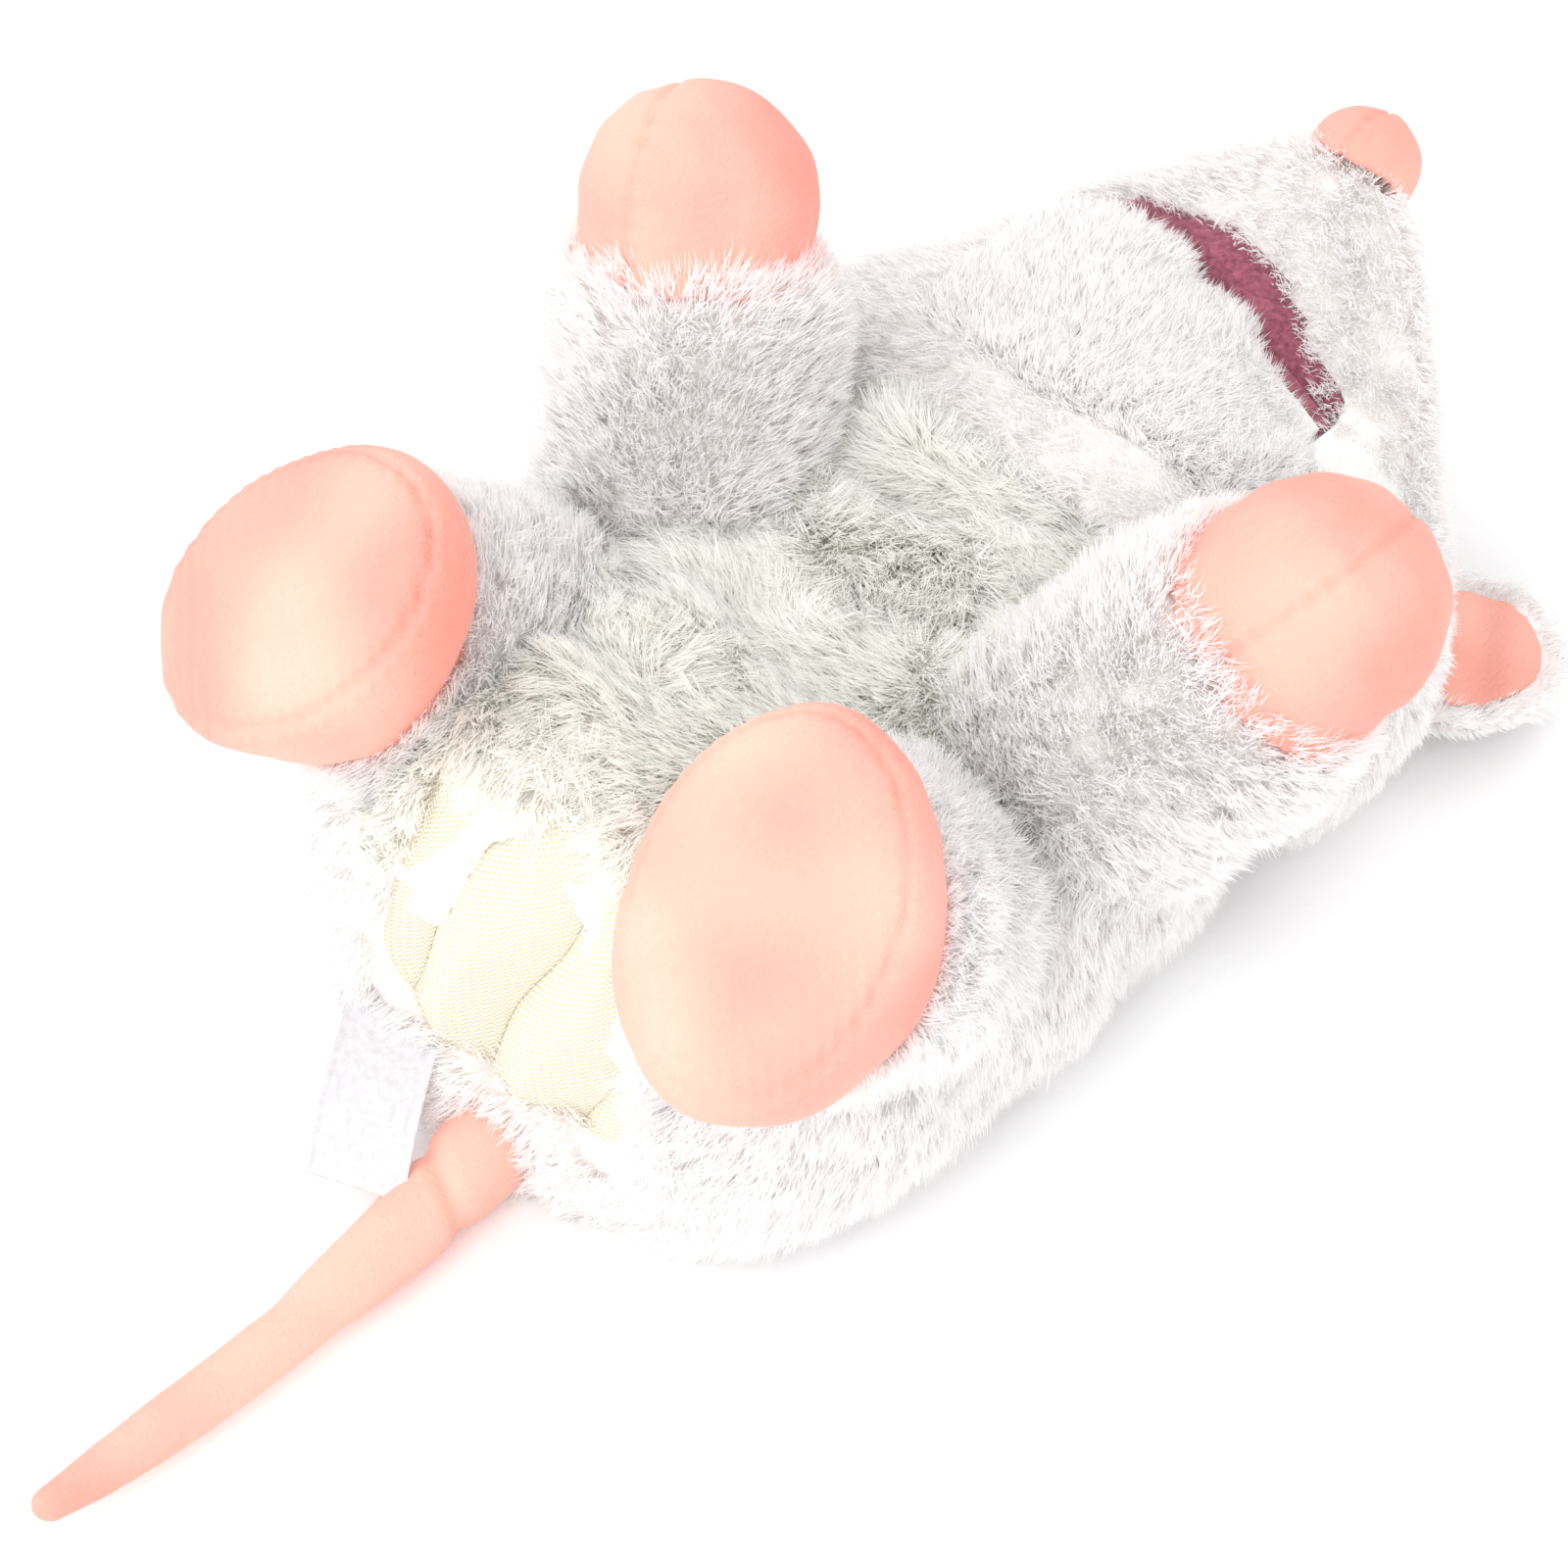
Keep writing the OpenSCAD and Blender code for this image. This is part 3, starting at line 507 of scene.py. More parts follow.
def spots(mesh, count, rng):
    """Random places spread evenly over a mesh: points and normals."""
    mesh.calc_loop_triangles()
    triangles = np.empty(len(mesh.loop_triangles) * 3, np.int32)
    mesh.loop_triangles.foreach_get("vertices", triangles)
    triangles = triangles.reshape(-1, 3)
    points, normals = points_of(mesh), normals_of(mesh)
    a, b, c = (points[triangles[:, i]] for i in range(3))
    areas = np.linalg.norm(np.cross(b - a, c - a), axis=1) / 2
    chosen = rng.choice(len(triangles), size=count, p=areas / areas.sum())
    u, v = rng.random(count), rng.random(count)
    over = u + v > 1
    u[over], v[over] = 1 - u[over], 1 - v[over]
    weights = np.stack([1 - u - v, u, v], axis=1)[:, :, None]
    place = (points[triangles[chosen]] * weights).sum(axis=1)
    normal = (normals[triangles[chosen]] * weights).sum(axis=1)
    return place, unit(normal)


def unit(vectors):
    """Vectors at length one."""
    return vectors / np.maximum(np.linalg.norm(vectors, axis=-1, keepdims=True), 1e-12)


def fur(name, skin, tufts, pile, comb, seed, keep, lean=0.9, spread=2.4 * MM, clump=0.38, blocked=()):
    """Plants tufts of tapering fibres on a skin.

    comb(points, normals) gives the way that they are brushed, and keep(points, normals) where they grow.
    lean tilts them, spread is a tuft's radius, clump draws its tips together, and blocked are solids without fur.
    """
    settings = bpy.context.scene.puppet_fur
    rng = np.random.default_rng(seed)
    place, normal = spots(skin.data, tufts * 8, rng)
    chosen = keep(place, normal)
    place, normal = place[chosen][:int(tufts * 1.6)], normal[chosen][:int(tufts * 1.6)]
    for tree in blocked:
        free = np.array([not inside(tree, p + n * 1.5 * MM) for p, n in zip(place, normal)], bool)
        place, normal = place[free], normal[free]
    place, normal = place[:tufts], normal[:tufts]
    n, k = len(place), settings.locks
    brushed = comb(place, normal) + rng.normal(size=(n, 3)) * 0.4
    brushed = unit(brushed - normal * (brushed * normal).sum(axis=1, keepdims=True))
    side = np.cross(normal, brushed)
    length = pile * rng.uniform(0.7, 1.15, (n, 1, 1)) * (1 + 0.18 * waves(place, 0.03, seed)[:, None, None])
    tilt = lean * rng.uniform(0.75, 1.2, (n, 1, 1))
    radius = spread * np.sqrt(rng.random((n, k, 1)))
    angle = rng.uniform(0, 2 * math.pi, (n, k, 1))
    offset = radius * (np.cos(angle) * brushed[:, None] + np.sin(angle) * side[:, None])
    nn, bb, ss = normal[:, None], brushed[:, None], side[:, None]
    swing = rng.normal(size=(n, k, 1)) * 0.22
    own = unit(np.cos(tilt) * nn + np.sin(tilt) * bb + swing * ss + rng.normal(size=(n, k, 1)) * 0.1 * nn)
    early = unit(np.cos(tilt * 0.45) * nn + np.sin(tilt * 0.45) * bb + 0.5 * swing * ss)
    fibre_length = length * rng.uniform(0.72, 1.08, (n, k, 1))
    root = place[:, None] + offset - nn * 0.4 * MM
    bend = root + early * fibre_length * 0.5
    tip = bend + own * fibre_length * 0.5
    tuft_tip = place[:, None] + early * length * 0.5 + own.mean(axis=1, keepdims=True) * length * 0.5
    tip = tip + (tuft_tip - tip) * clump * rng.uniform(0.6, 1.1, (n, k, 1))
    bend = bend + (tuft_tip - bend) * clump * 0.18
    flat = unit(np.cross(tip - root, nn + rng.normal(size=(n, k, 3)) * 0.75))
    wide = flat * settings.fibre * rng.uniform(0.7, 1.2, (n, k, 1)) / 2
    corners = np.stack([root, bend - wide, bend + wide, tip], axis=2).reshape(-1, 3)
    corners[:, 2] = np.maximum(corners[:, 2], FUR_FLOOR)
    strands = n * k
    first = (np.arange(strands) * 4)[:, None]
    faces = np.concatenate([first + [0, 1, 2], first + [2, 1, 3]], axis=1).reshape(-1)
    mesh = bpy.data.meshes.new(name)
    mesh.vertices.add(len(corners))
    mesh.vertices.foreach_set("co", corners.astype(np.float32).ravel())
    mesh.loops.add(len(faces))
    mesh.loops.foreach_set("vertex_index", faces.astype(np.int32))
    mesh.polygons.add(len(faces) // 3)
    mesh.polygons.foreach_set("loop_start", np.arange(0, len(faces), 3, dtype=np.int32))
    mesh.update(calc_edges=True)
    shade = rng.normal(size=(n, 1)) * 0.03 + rng.normal(size=(n, k)) * 0.04
    # roots get a low value and take the darker root colour: painted shade at the roots, with a cream tint; shade is
    # random tone per tuft and fibre
    root_shade_and_tone = np.stack([shade + 0.1, shade + 0.45, shade + 0.45, shade + 0.7], axis=2).ravel()
    mesh.attributes.new("root_shade_and_tone", "FLOAT", "POINT").data.foreach_set("value", root_shade_and_tone.astype(np.float32))
    piece = bpy.data.objects.new(name, mesh)
    bpy.context.scene.collection.objects.link(piece)
    return piece


def inside(tree, point, way=Vector((0.31, -0.22, 0.92))):
    """Whether a point is inside a closed skin: the first face that a ray meets is seen from behind."""
    hit, normal, _, _ = tree.ray_cast(Vector(point), way)
    return hit is not None and normal.dot(way) > 0


def skin_tree(piece):
    """A search tree of a piece's faces."""
    return BVHTree.FromPolygons(
        [v.co.copy() for v in piece.data.vertices], [tuple(p.vertices) for p in piece.data.polygons])


def towards(*direction):
    """A comb that brushes one way everywhere."""
    way = np.array(direction, float)
    return lambda points, normals: np.tile(way, (len(points), 1))


def swirl(way, scale, seed, strength):
    """A comb that brushes one way, with tousled swirls."""
    way = np.array(way, float)

    def comb(points, normals):
        turn = np.stack([waves(points, scale, seed + i) for i in range(3)], axis=1)
        return way + turn * strength
    return comb


SKINS = {}


def finish_piece(piece, material, body=None, bend=None, replaces=()):
    """Paints a piece with a finish by its short name and lets it ride on a body; a piece given a bend has only its
    transform baked into its mesh.
    """
    paint(piece, MATERIALS[material])
    if bend:
        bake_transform(piece)
    else:
        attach(piece, body)
    if replaces:
        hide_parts(*replaces)


def shoulder_bend(body):
    """Where a limb's skin leaves the trunk: the two bodies, and where the bend starts and ends."""
    start = joint_at(body)
    side, limb = body.split("_")
    axis = (middle(f"{side}_{'hand' if limb == 'arm' else 'foot_sole'}") - start).normalized()
    return ("torso", body, tuple(start), tuple(start + axis * BEND_RUN * MM))


def mouth_ways(tilt):
    """The ways ahead and up along the closed mouth."""
    return np.array([0, math.cos(tilt), math.sin(tilt)]), np.array([0, -math.sin(tilt), math.cos(tilt)])


NECK_BEND = ("torso", "head", (0, 0.068, 0.05), (0, 0.104, 0.05))
JAW_BEND = ("head", "jaw", (0, 0.098, 0.1), (0, 0.128, 0.1))


# ---- Operators ----

class PUPPET_OT_trunk(bpy.types.Operator):
    """Sews the trunk's white back and cream belly"""
    bl_idname = "puppet.trunk"
    bl_label = "Trunk"

    def execute(self, context):
        sewn = context.scene.puppet_sewn
        balls = []
        for side in SIDES:
            for limb in ("arm", "leg"):
                body = f"{side}_{limb}"
                radius = (joint_at(body) - Vector(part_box(f"{body}_sleeve")[0])).z
                balls.append((joint_at(body), radius + 0.5 * MM))
        whole = joined_copy(
            "trunk_skin",
            ["back_panel", "belly_panel", "opening_hem", "stuffing_left_side", "stuffing_right_side"], balls)
        remesh(whole, sewn.voxel, 12)
        crumple(whole, 1.6 * MM, 0.045, 3)
        self.sink_seams(whole)
        stay_above(whole, 0.0)
        SKINS["trunk"] = whole
        belly = duplicate(whole, "belly_skin")
        self.keep_belly(belly)
        SKINS["belly"] = belly
        finish_piece(whole, "white_back", "torso", replaces=("back_panel", "opening_hem"))
        finish_piece(belly, "cream_back", "torso", replaces=("belly_panel",))
        return {"FINISHED"}

    @staticmethod
    def sink_seams(piece):
        """Sinks the side seams and lays folds on the belly."""
        low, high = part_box("belly_panel")
        half, bottom = high[0], low[2]

        def side_seam(points):
            away = np.abs(np.abs(points[:, 0]) - half)
            return np.where(points[:, 2] > bottom, away, 1.0)
        seam(piece, side_seam, lambda p: p[:, 1], 5 * MM, 3.5 * MM)
        points, normals = points_of(piece.data), normals_of(piece.data)
        on_belly = np.clip((points[:, 2] - bottom - 0.02) / 0.03, 0, 1) * (np.abs(points[:, 0]) < half)
        folds = np.abs(waves(points * [1.0, 1.5, 1.0], 0.055, 21)) ** 0.7
        put_points(piece.data, points - normals * (folds * on_belly * 3.2 * MM)[:, None])

    @staticmethod
    def keep_belly(piece):
        """Leaves only the belly's panel of the skin."""
        low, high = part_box("belly_panel")
        trim(piece, lambda centre, normal: abs(centre.x) > high[0] or centre.z < low[2] + 0.012
             or normal.z < 0.05 or centre.y < low[1] - 0.002, 0.7, 1.2 * MM)


class PUPPET_OT_head(bpy.types.Operator):
    """Sews the head and the jaw from one rounded form, split at the mouth"""
    bl_idname = "puppet.head"
    bl_label = "Head and jaw"

    def execute(self, context):
        sewn = context.scene.puppet_sewn
        whole = joined_copy("head_skin", ["head_cover", "jaw_cover"])
        select_only(whole)
        bpy.ops.object.mode_set(mode="EDIT")
        bpy.ops.mesh.select_all(action="SELECT")
        bpy.ops.mesh.convex_hull()
        bpy.ops.object.mode_set(mode="OBJECT")
        remesh(whole, sewn.voxel, 10)
        jaw = duplicate(whole, "jaw_skin")
        hinge = joint_at("jaw")
        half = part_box("jaw_cover")[1][0] + 3 * MM
        self.cut(jaw, hinge, sewn.mouth_tilt + JAW_GAP, half, "INTERSECT")
        self.cut(whole, hinge, sewn.mouth_tilt, half + 0.6 * MM, "DIFFERENCE")
        remesh(jaw, 2.6 * MM, 5, 0.8 * MM)
        remesh(whole, 2.8 * MM, 6, 0.6 * MM)
        crumple(whole, 1.5 * MM, 0.05, 8)
        crumple(jaw, 1.3 * MM, 0.04, 9)
        for piece in (whole, jaw):
            stay_above(piece, 0.0)
        self.draw_back(jaw, hinge, sewn.lip)
        for piece in (whole, jaw):
            self.skew(piece, hinge, sewn.mouth_tilt, sewn.mouth_skew)
        roof = self.mouth_face(whole, "mouth_roof_lining", sewn.mouth_tilt, 1)
        floor = self.mouth_face(jaw, "mouth_floor_lining", sewn.mouth_tilt + JAW_GAP, -1)
        finish_piece(roof, "mouth", "head")
        finish_piece(floor, "mouth", bend=JAW_BEND)
        SKINS["head"], SKINS["jaw"] = whole, jaw
        finish_piece(whole, "white_back", bend=NECK_BEND, replaces=("head_cover",))
        finish_piece(jaw, "white_back", bend=JAW_BEND, replaces=("jaw_cover",))
        return {"FINISHED"}

    @staticmethod
    def draw_back(piece, hinge, lip):
        """Draws the jaw's front edge back behind the snout, so that the lining of the mouth shows at the slit."""
        points = points_of(piece.data)
        away = points - np.array(hinge)
        length = np.linalg.norm(away[:, 1:], axis=1, keepdims=True)
        share = np.clip((length - 0.02) / 0.05, 0, 1) ** 2 * np.clip((points[:, :1] + 0.032) / 0.03, 0, 1)
        points[:, 1:] -= away[:, 1:] / np.maximum(length, 1e-6) * share * lip
        put_points(piece.data, points)

    @staticmethod
    def skew(piece, hinge, tilt, amount):
        """Draws the slit back on the mouth's left side, so that the soft mouth lies a little askew."""
        points = points_of(piece.data)
        ahead, up = mouth_ways(tilt)
        away = points - np.array(hinge)
        near = np.exp(-((away @ up) / 0.022) ** 2) * np.clip(((away @ ahead) - 0.02) / 0.03, 0, 1)
        side = np.clip((points[:, 0] + 0.03) / 0.06, 0, 1)
        put_points(piece.data, points - ahead * (near * side * amount)[:, None])

    @staticmethod
    def mouth_face(piece, name, tilt, facing):
        """The lining of the mouth on a skin's cut face: its roof faces up, its floor down."""
        copy = duplicate(piece, name)
        hinge = joint_at("jaw")
        up = Vector(mouth_ways(tilt)[1])
        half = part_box("jaw_cover")[1][0] + 3 * MM
        trim(copy, lambda centre, normal: normal.dot(up) * facing < 0.7 or abs((centre - hinge).dot(up)) > 5 * MM
             or abs(centre.x) > half or centre.y < hinge.y - 4 * MM, 0.6, 0.8 * MM)
        return copy

    @staticmethod
    def cut(piece, hinge, tilt, half, operation):
        """Keeps or removes what lies above the mouth, between the corners of the mouth."""
        bpy.ops.object.select_all(action="DESELECT")
        bpy.ops.mesh.primitive_cube_add(size=1, location=(0, 0, 0))
        cutter = bpy.context.object
        ahead, up = map(Vector, mouth_ways(tilt))
        for vertex in cutter.data.vertices:
            x = half if vertex.co.x > 0 else -half
            y = 0.13 if vertex.co.y > 0 else 0.0
            z = 0.12 if vertex.co.z > 0 else 0.0
            vertex.co = hinge + ahead * y + up * z + Vector((x, 0, 0))
            if y == 0.0 and z > 0:
                vertex.co = Vector((x, hinge.y - 0.03, hinge.z + 0.12))
        modifier = piece.modifiers.new("cut", "BOOLEAN")
        modifier.operation = operation
        modifier.object = cutter
        modifier.solver = "EXACT"
        select_only(piece)
        bpy.ops.object.modifier_apply(modifier=modifier.name)
        bpy.data.objects.remove(cutter)


class PUPPET_OT_limbs(bpy.types.Operator):
    """Sews the arms, hands, legs and feet"""
    bl_idname = "puppet.limbs"
    bl_label = "Limbs"
    # turn of each hand's seam about the arm, and its shift off the middle
    HAND_SEAMS = {"left": (math.radians(-168), 4 * MM), "right": (math.radians(20), -8 * MM)}

    def execute(self, context):
        for side in SIDES:
            self.arm(context.scene.puppet_sewn, side)
            self.leg(context.scene.puppet_sewn, side)
        return {"FINISHED"}

    def arm(self, sewn, side):
        body, nodes = f"{side}_arm", [f"{side}_arm_sleeve", f"{side}_arm_stuffing", f"{side}_hand"]
        hand, start, axis = self.sew(side, "arm", "hand", nodes, f"{side}_hand", 4, 0.8 * MM, 4, 4, 2.0 * MM)
        turn, shift = self.HAND_SEAMS[side]
        out = Vector(JOINTS[body]["axis"])
        out = (out - axis * out.dot(axis)).normalized()
        across = out * math.cos(turn) + axis.cross(out) * math.sin(turn)
        self.centre_seam(hand, start + across * shift, across, axis, sewn)
        crumple(hand, 0.5 * MM, 0.018, 31)
        finish_piece(hand, "peach", body, replaces=(f"{side}_hand",))

    def leg(self, sewn, side):
        body, soles = f"{side}_leg", (f"{side}_foot_upper", f"{side}_foot_sole")
        nodes = [f"{body}_sleeve", *soles, f"{body}_stuffing"]
        foot, start, axis = self.sew(side, "leg", "foot", nodes, soles[1], 5, 1.9 * MM, 3, 5, 2.5 * MM)
        rim = self.reach_of(soles[0], start, axis) + 0.5 * MM
        origin, way = np.array(start), np.array(axis)
        seam(foot, lambda p: np.abs((p - origin) @ way - rim), lambda p: p[:, 0] + p[:, 1],
             sewn.seam_width, sewn.seam_depth)
        crumple(foot, 0.6 * MM, 0.024, 33)
        finish_piece(foot, "peach", body, replaces=soles)

    def sew(self, side, limb, end, nodes, end_node, rounds, swell, gather, overlap, travel):
        """Sews a sleeve and the short pile piece at its end, which reaches overlap millimetres into it."""
        body = f"{side}_{limb}"
        start = joint_at(body)
        axis = self.axis_of(end_node, start)
        whole = joined_copy(f"{body}_skin", nodes)
        remesh(whole, 2.4 * MM, rounds, swell)
        cuff = start + axis * (self.reach_of(f"{body}_sleeve", start, axis) + 0.5 * MM)
        tip = duplicate(whole, f"{side}_{end}_skin")
        self.draw_in(whole, start, axis, cuff, gather * MM)
        slice_off(tip, cuff - axis * overlap * MM, axis, True)
        slice_off(whole, cuff, axis, False)
        puff(tip, 2.0, travel)
        apply_modifier(tip, "SUBSURF", levels=1, render_levels=1)
        SKINS[body], SKINS[f"{side}_{end}"] = whole, tip
        finish_piece(whole, "white_back", bend=shoulder_bend(body),
                     replaces=(f"{body}_sleeve",))
        return tip, start, axis

    @staticmethod
    def draw_in(piece, start, axis, end, amount):
        """Gathers a sleeve towards its end, where the short pile piece is sewn in."""
        points = points_of(piece.data)
        origin, way = np.array(start), np.array(axis)
        along = (points - origin) @ way
        radial = points - origin - along[:, None] * way
        share = np.clip((along - (end - start).length + 16 * MM) / (16 * MM), 0, 1)[:, None] ** 2
        put_points(piece.data, points - unit(radial) * share * amount)

    @staticmethod
    def axis_of(node, start):
        """A limb's direction, from its joint to the mean of its end piece."""
        points = points_of(frame["nodes"][node].data)
        return (Vector(points.mean(axis=0)) - start).normalized()

    @staticmethod
    def reach_of(node, start, axis):
        """How far a node reaches along a limb."""
        points = points_of(frame["nodes"][node].data)
        return float(((points - np.array(start)) @ np.array(axis)).max())

    @staticmethod
    def centre_seam(piece, start, across, axis, sewn):
        """Sinks the seam between a hand's two halves."""
        origin, way, run = np.array(start), np.array(across), np.array(axis)
        seam(piece, lambda p: np.abs((p - origin) @ way), lambda p: (p - origin) @ run,
             sewn.seam_width, sewn.seam_depth)


class PUPPET_OT_tail_and_nose(bpy.types.Operator):
    """Sews the tail and the nose"""
    bl_idname = "puppet.tail_and_nose"
    bl_label = "Tail and nose"

    def execute(self, context):
        sewn = context.scene.puppet_sewn
        tail = joined_copy("tail_skin", ["tail_cover", "tail_stuffing"])
        remesh(tail, 1.5 * MM, 6, 0.4 * MM)
        self.soften_tail(tail)
        apply_modifier(tail, "SUBSURF", levels=1, render_levels=1)
        finish_piece(tail, "peach", "tail", replaces=("tail_cover",))
        nose = joined_copy("nose_skin", ["nose"])
        remesh(nose, 1.3 * MM, 4, 0.4 * MM)
        apply_modifier(nose, "SUBSURF", levels=1, render_levels=1)
        seam(nose, lambda p: np.abs(p[:, 0]), lambda p: p[:, 1] + p[:, 2],
             sewn.seam_width * 0.8, sewn.seam_depth * 0.8)
        crumple(nose, 0.4 * MM, 0.014, 41)
        SKINS["nose"], SKINS["tail"] = nose, tail
        finish_piece(nose, "peach", "head", replaces=("nose",))
        return {"FINISHED"}

    @staticmethod
    def soften_tail(piece):
        """Creases near the root and slight lumps of filling along the tail."""
        points, normals = points_of(piece.data), normals_of(piece.data)
        root = joint_at("tail").y
        down = root - points[:, 1]
        crease = np.exp(-((down - 0.012 - 0.4 * points[:, 0]) / 0.0025) ** 2) * 1.8 * MM
        crease += np.exp(-((down - 0.062 + 0.6 * points[:, 0]) / 0.006) ** 2) * 0.6 * MM
        lumps = waves(points, 0.05, 51) * 0.35 * MM + np.exp(-np.clip(down, 0, 1) / 0.05) * 2.4 * MM
        put_points(piece.data, points + normals * (lumps - crease)[:, None])


class PUPPET_OT_ears(bpy.types.Operator):
    """Sews the ears: a furry back and a peach inner ear with folds"""
    bl_idname = "puppet.ears"
    bl_label = "Ears"

    def execute(self, context):
        for side in SIDES:
            back = joined_copy(f"{side}_ear_skin", [f"{side}_ear_back"])
            remesh(back, 1.6 * MM, 4)
            inner = joined_copy(f"{side}_ear_lining", [f"{side}_ear_inner"])
            remesh(inner, 1.1 * MM, 4)
            for piece in (back, inner):
                self.fold(piece, f"{side}_ear")
                stay_above(piece, 0.4 * MM)
            apply_modifier(inner, "SUBSURF", levels=1, render_levels=1)
            SKINS[f"{side}_ear"] = back
            finish_piece(back, "white_back", f"{side}_ear", replaces=(f"{side}_ear_back",))
            finish_piece(inner, "peach", f"{side}_ear", replaces=(f"{side}_ear_inner",))
        return {"FINISHED"}

    @staticmethod
    def fold(piece, body):
        """Cups the ear a little and folds it across, more towards its edge."""
        points = points_of(piece.data)
        hinge = np.array(joint_at(body))
        run = np.array(JOINTS[body]["axis"])
        out = np.array(middle(f"{body}_inner")) - hinge
        out[2] = 0
        out /= np.linalg.norm(out)
        local = points - hinge
        along, across = local @ out, local @ run
        rise = (across / 0.025) ** 2 * 3.5 * MM * np.clip(along / 0.03, 0, 1)
        rise += np.sin(along * 2 * math.pi / 0.017 + across * 40) * 0.9 * MM * np.clip(along / 0.02, 0, 1)
        points[:, 2] += rise
        put_points(piece.data, points)


class PUPPET_OT_lining(bpy.types.Operator):
    """Gathers the knitted lining that bulges out of the glove's opening"""
    bl_idname = "puppet.lining"
    bl_label = "Lining"

    def execute(self, context):
        pleats, columns, rows = context.scene.puppet_sewn.pleats, 120, 100
        low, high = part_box("opening_hem")
        half, bottom, top = high[0] - 1 * MM, low[2] + 3 * MM, high[2] + 6 * MM
        front = low[1] + 2 * MM
        lean = 0.26        # how far the opening leans back with height

        def place(i, j):
            u, v = i / columns * 2 - 1, j / rows
            z = bottom + (top - bottom) * v
            narrow = (1 - 0.22 * v ** 2) * min(1.0, 0.9 + 0.5 * v)
            x = half * narrow * u
            edge = (max(0.0, 1 - abs(u) ** 4) * max(0.0, math.sin(math.pi * min(v * 0.9 + 0.1, 1.0)))) ** 0.5
            phase = (x - 26 * MM * v + 6 * MM) / (2 * half) * pleats
            phase += 0.06 * math.sin(v * 6 + u * 3)
            ridge = 0.5 * abs(math.sin(math.pi * phase)) ** 0.8 + 0.5 * (1 - abs(2 * (phase % 1) - 1))
            ripple = noise(Vector((x, z, 0)) * 60) * 1.2 * MM
            bulge = edge * (3 * MM + 11 * MM * ridge + ripple)
            return x, front + lean * (z - bottom) + 8 * MM - bulge, z + edge * ridge * 3 * MM
        piece = cloth("gathered_lining", columns, rows, place, (2 * half * 1.5, (top - bottom) * 1.2), 1.0 * MM, 1.0)
        bpy.ops.object.shade_smooth()
        finish_piece(piece, "knit", "torso")
        return {"FINISHED"}


class PUPPET_OT_label(bpy.types.Operator):
    """Weaves the blank care label with its raised edges"""
    bl_idname = "puppet.label"
    bl_label = "Care label"

    def execute(self, context):
        points = points_of(frame["nodes"]["care_label"].data)
        root = joint_at("label")
        spread = points - np.array(root)
        far = points[np.argsort(-np.linalg.norm(spread[:, :2], axis=1))[:4]].mean(axis=0)
        along = Vector(far - np.array(root))
        length = along.length * 0.985
        along.normalize()
        across = Vector(JOINTS["label"]["axis"]).normalized()
        half = float(np.abs(spread @ np.array(across)).max())
        up = across.cross(along).normalized()
        up = up if up.z > 0 else -up
        columns, rows = 44, 60
        start = -0.2        # the sewn end reaches this share of the length behind the hinge

        def place(i, j):
            t, s = start + (1 - start) * j / rows, i / columns * 2 - 1
            edge = 0.35 * MM * (abs(s) > 0.9) * (0.5 + 0.5 * (j % 2))
            curl = 2.4 * MM * math.sin(t * 3.0) - 5.5 * MM * max(t, 0) ** 2 + 1.0 * MM * s * t
            return root + along * (length * t) + across * (half * s * 0.98) + up * (curl + edge)
        piece = cloth("care_label_ribbon", columns, rows, place, (2 * half, length), 0.45 * MM, 0.0)
        bpy.ops.object.mode_set(mode="EDIT")
        bpy.ops.mesh.select_all(action="SELECT")
        bpy.ops.mesh.normals_make_consistent(inside=False)
        bpy.ops.object.mode_set(mode="OBJECT")
        bpy.ops.object.shade_smooth()
        finish_piece(piece, "label", "label", replaces=("care_label",))
        return {"FINISHED"}


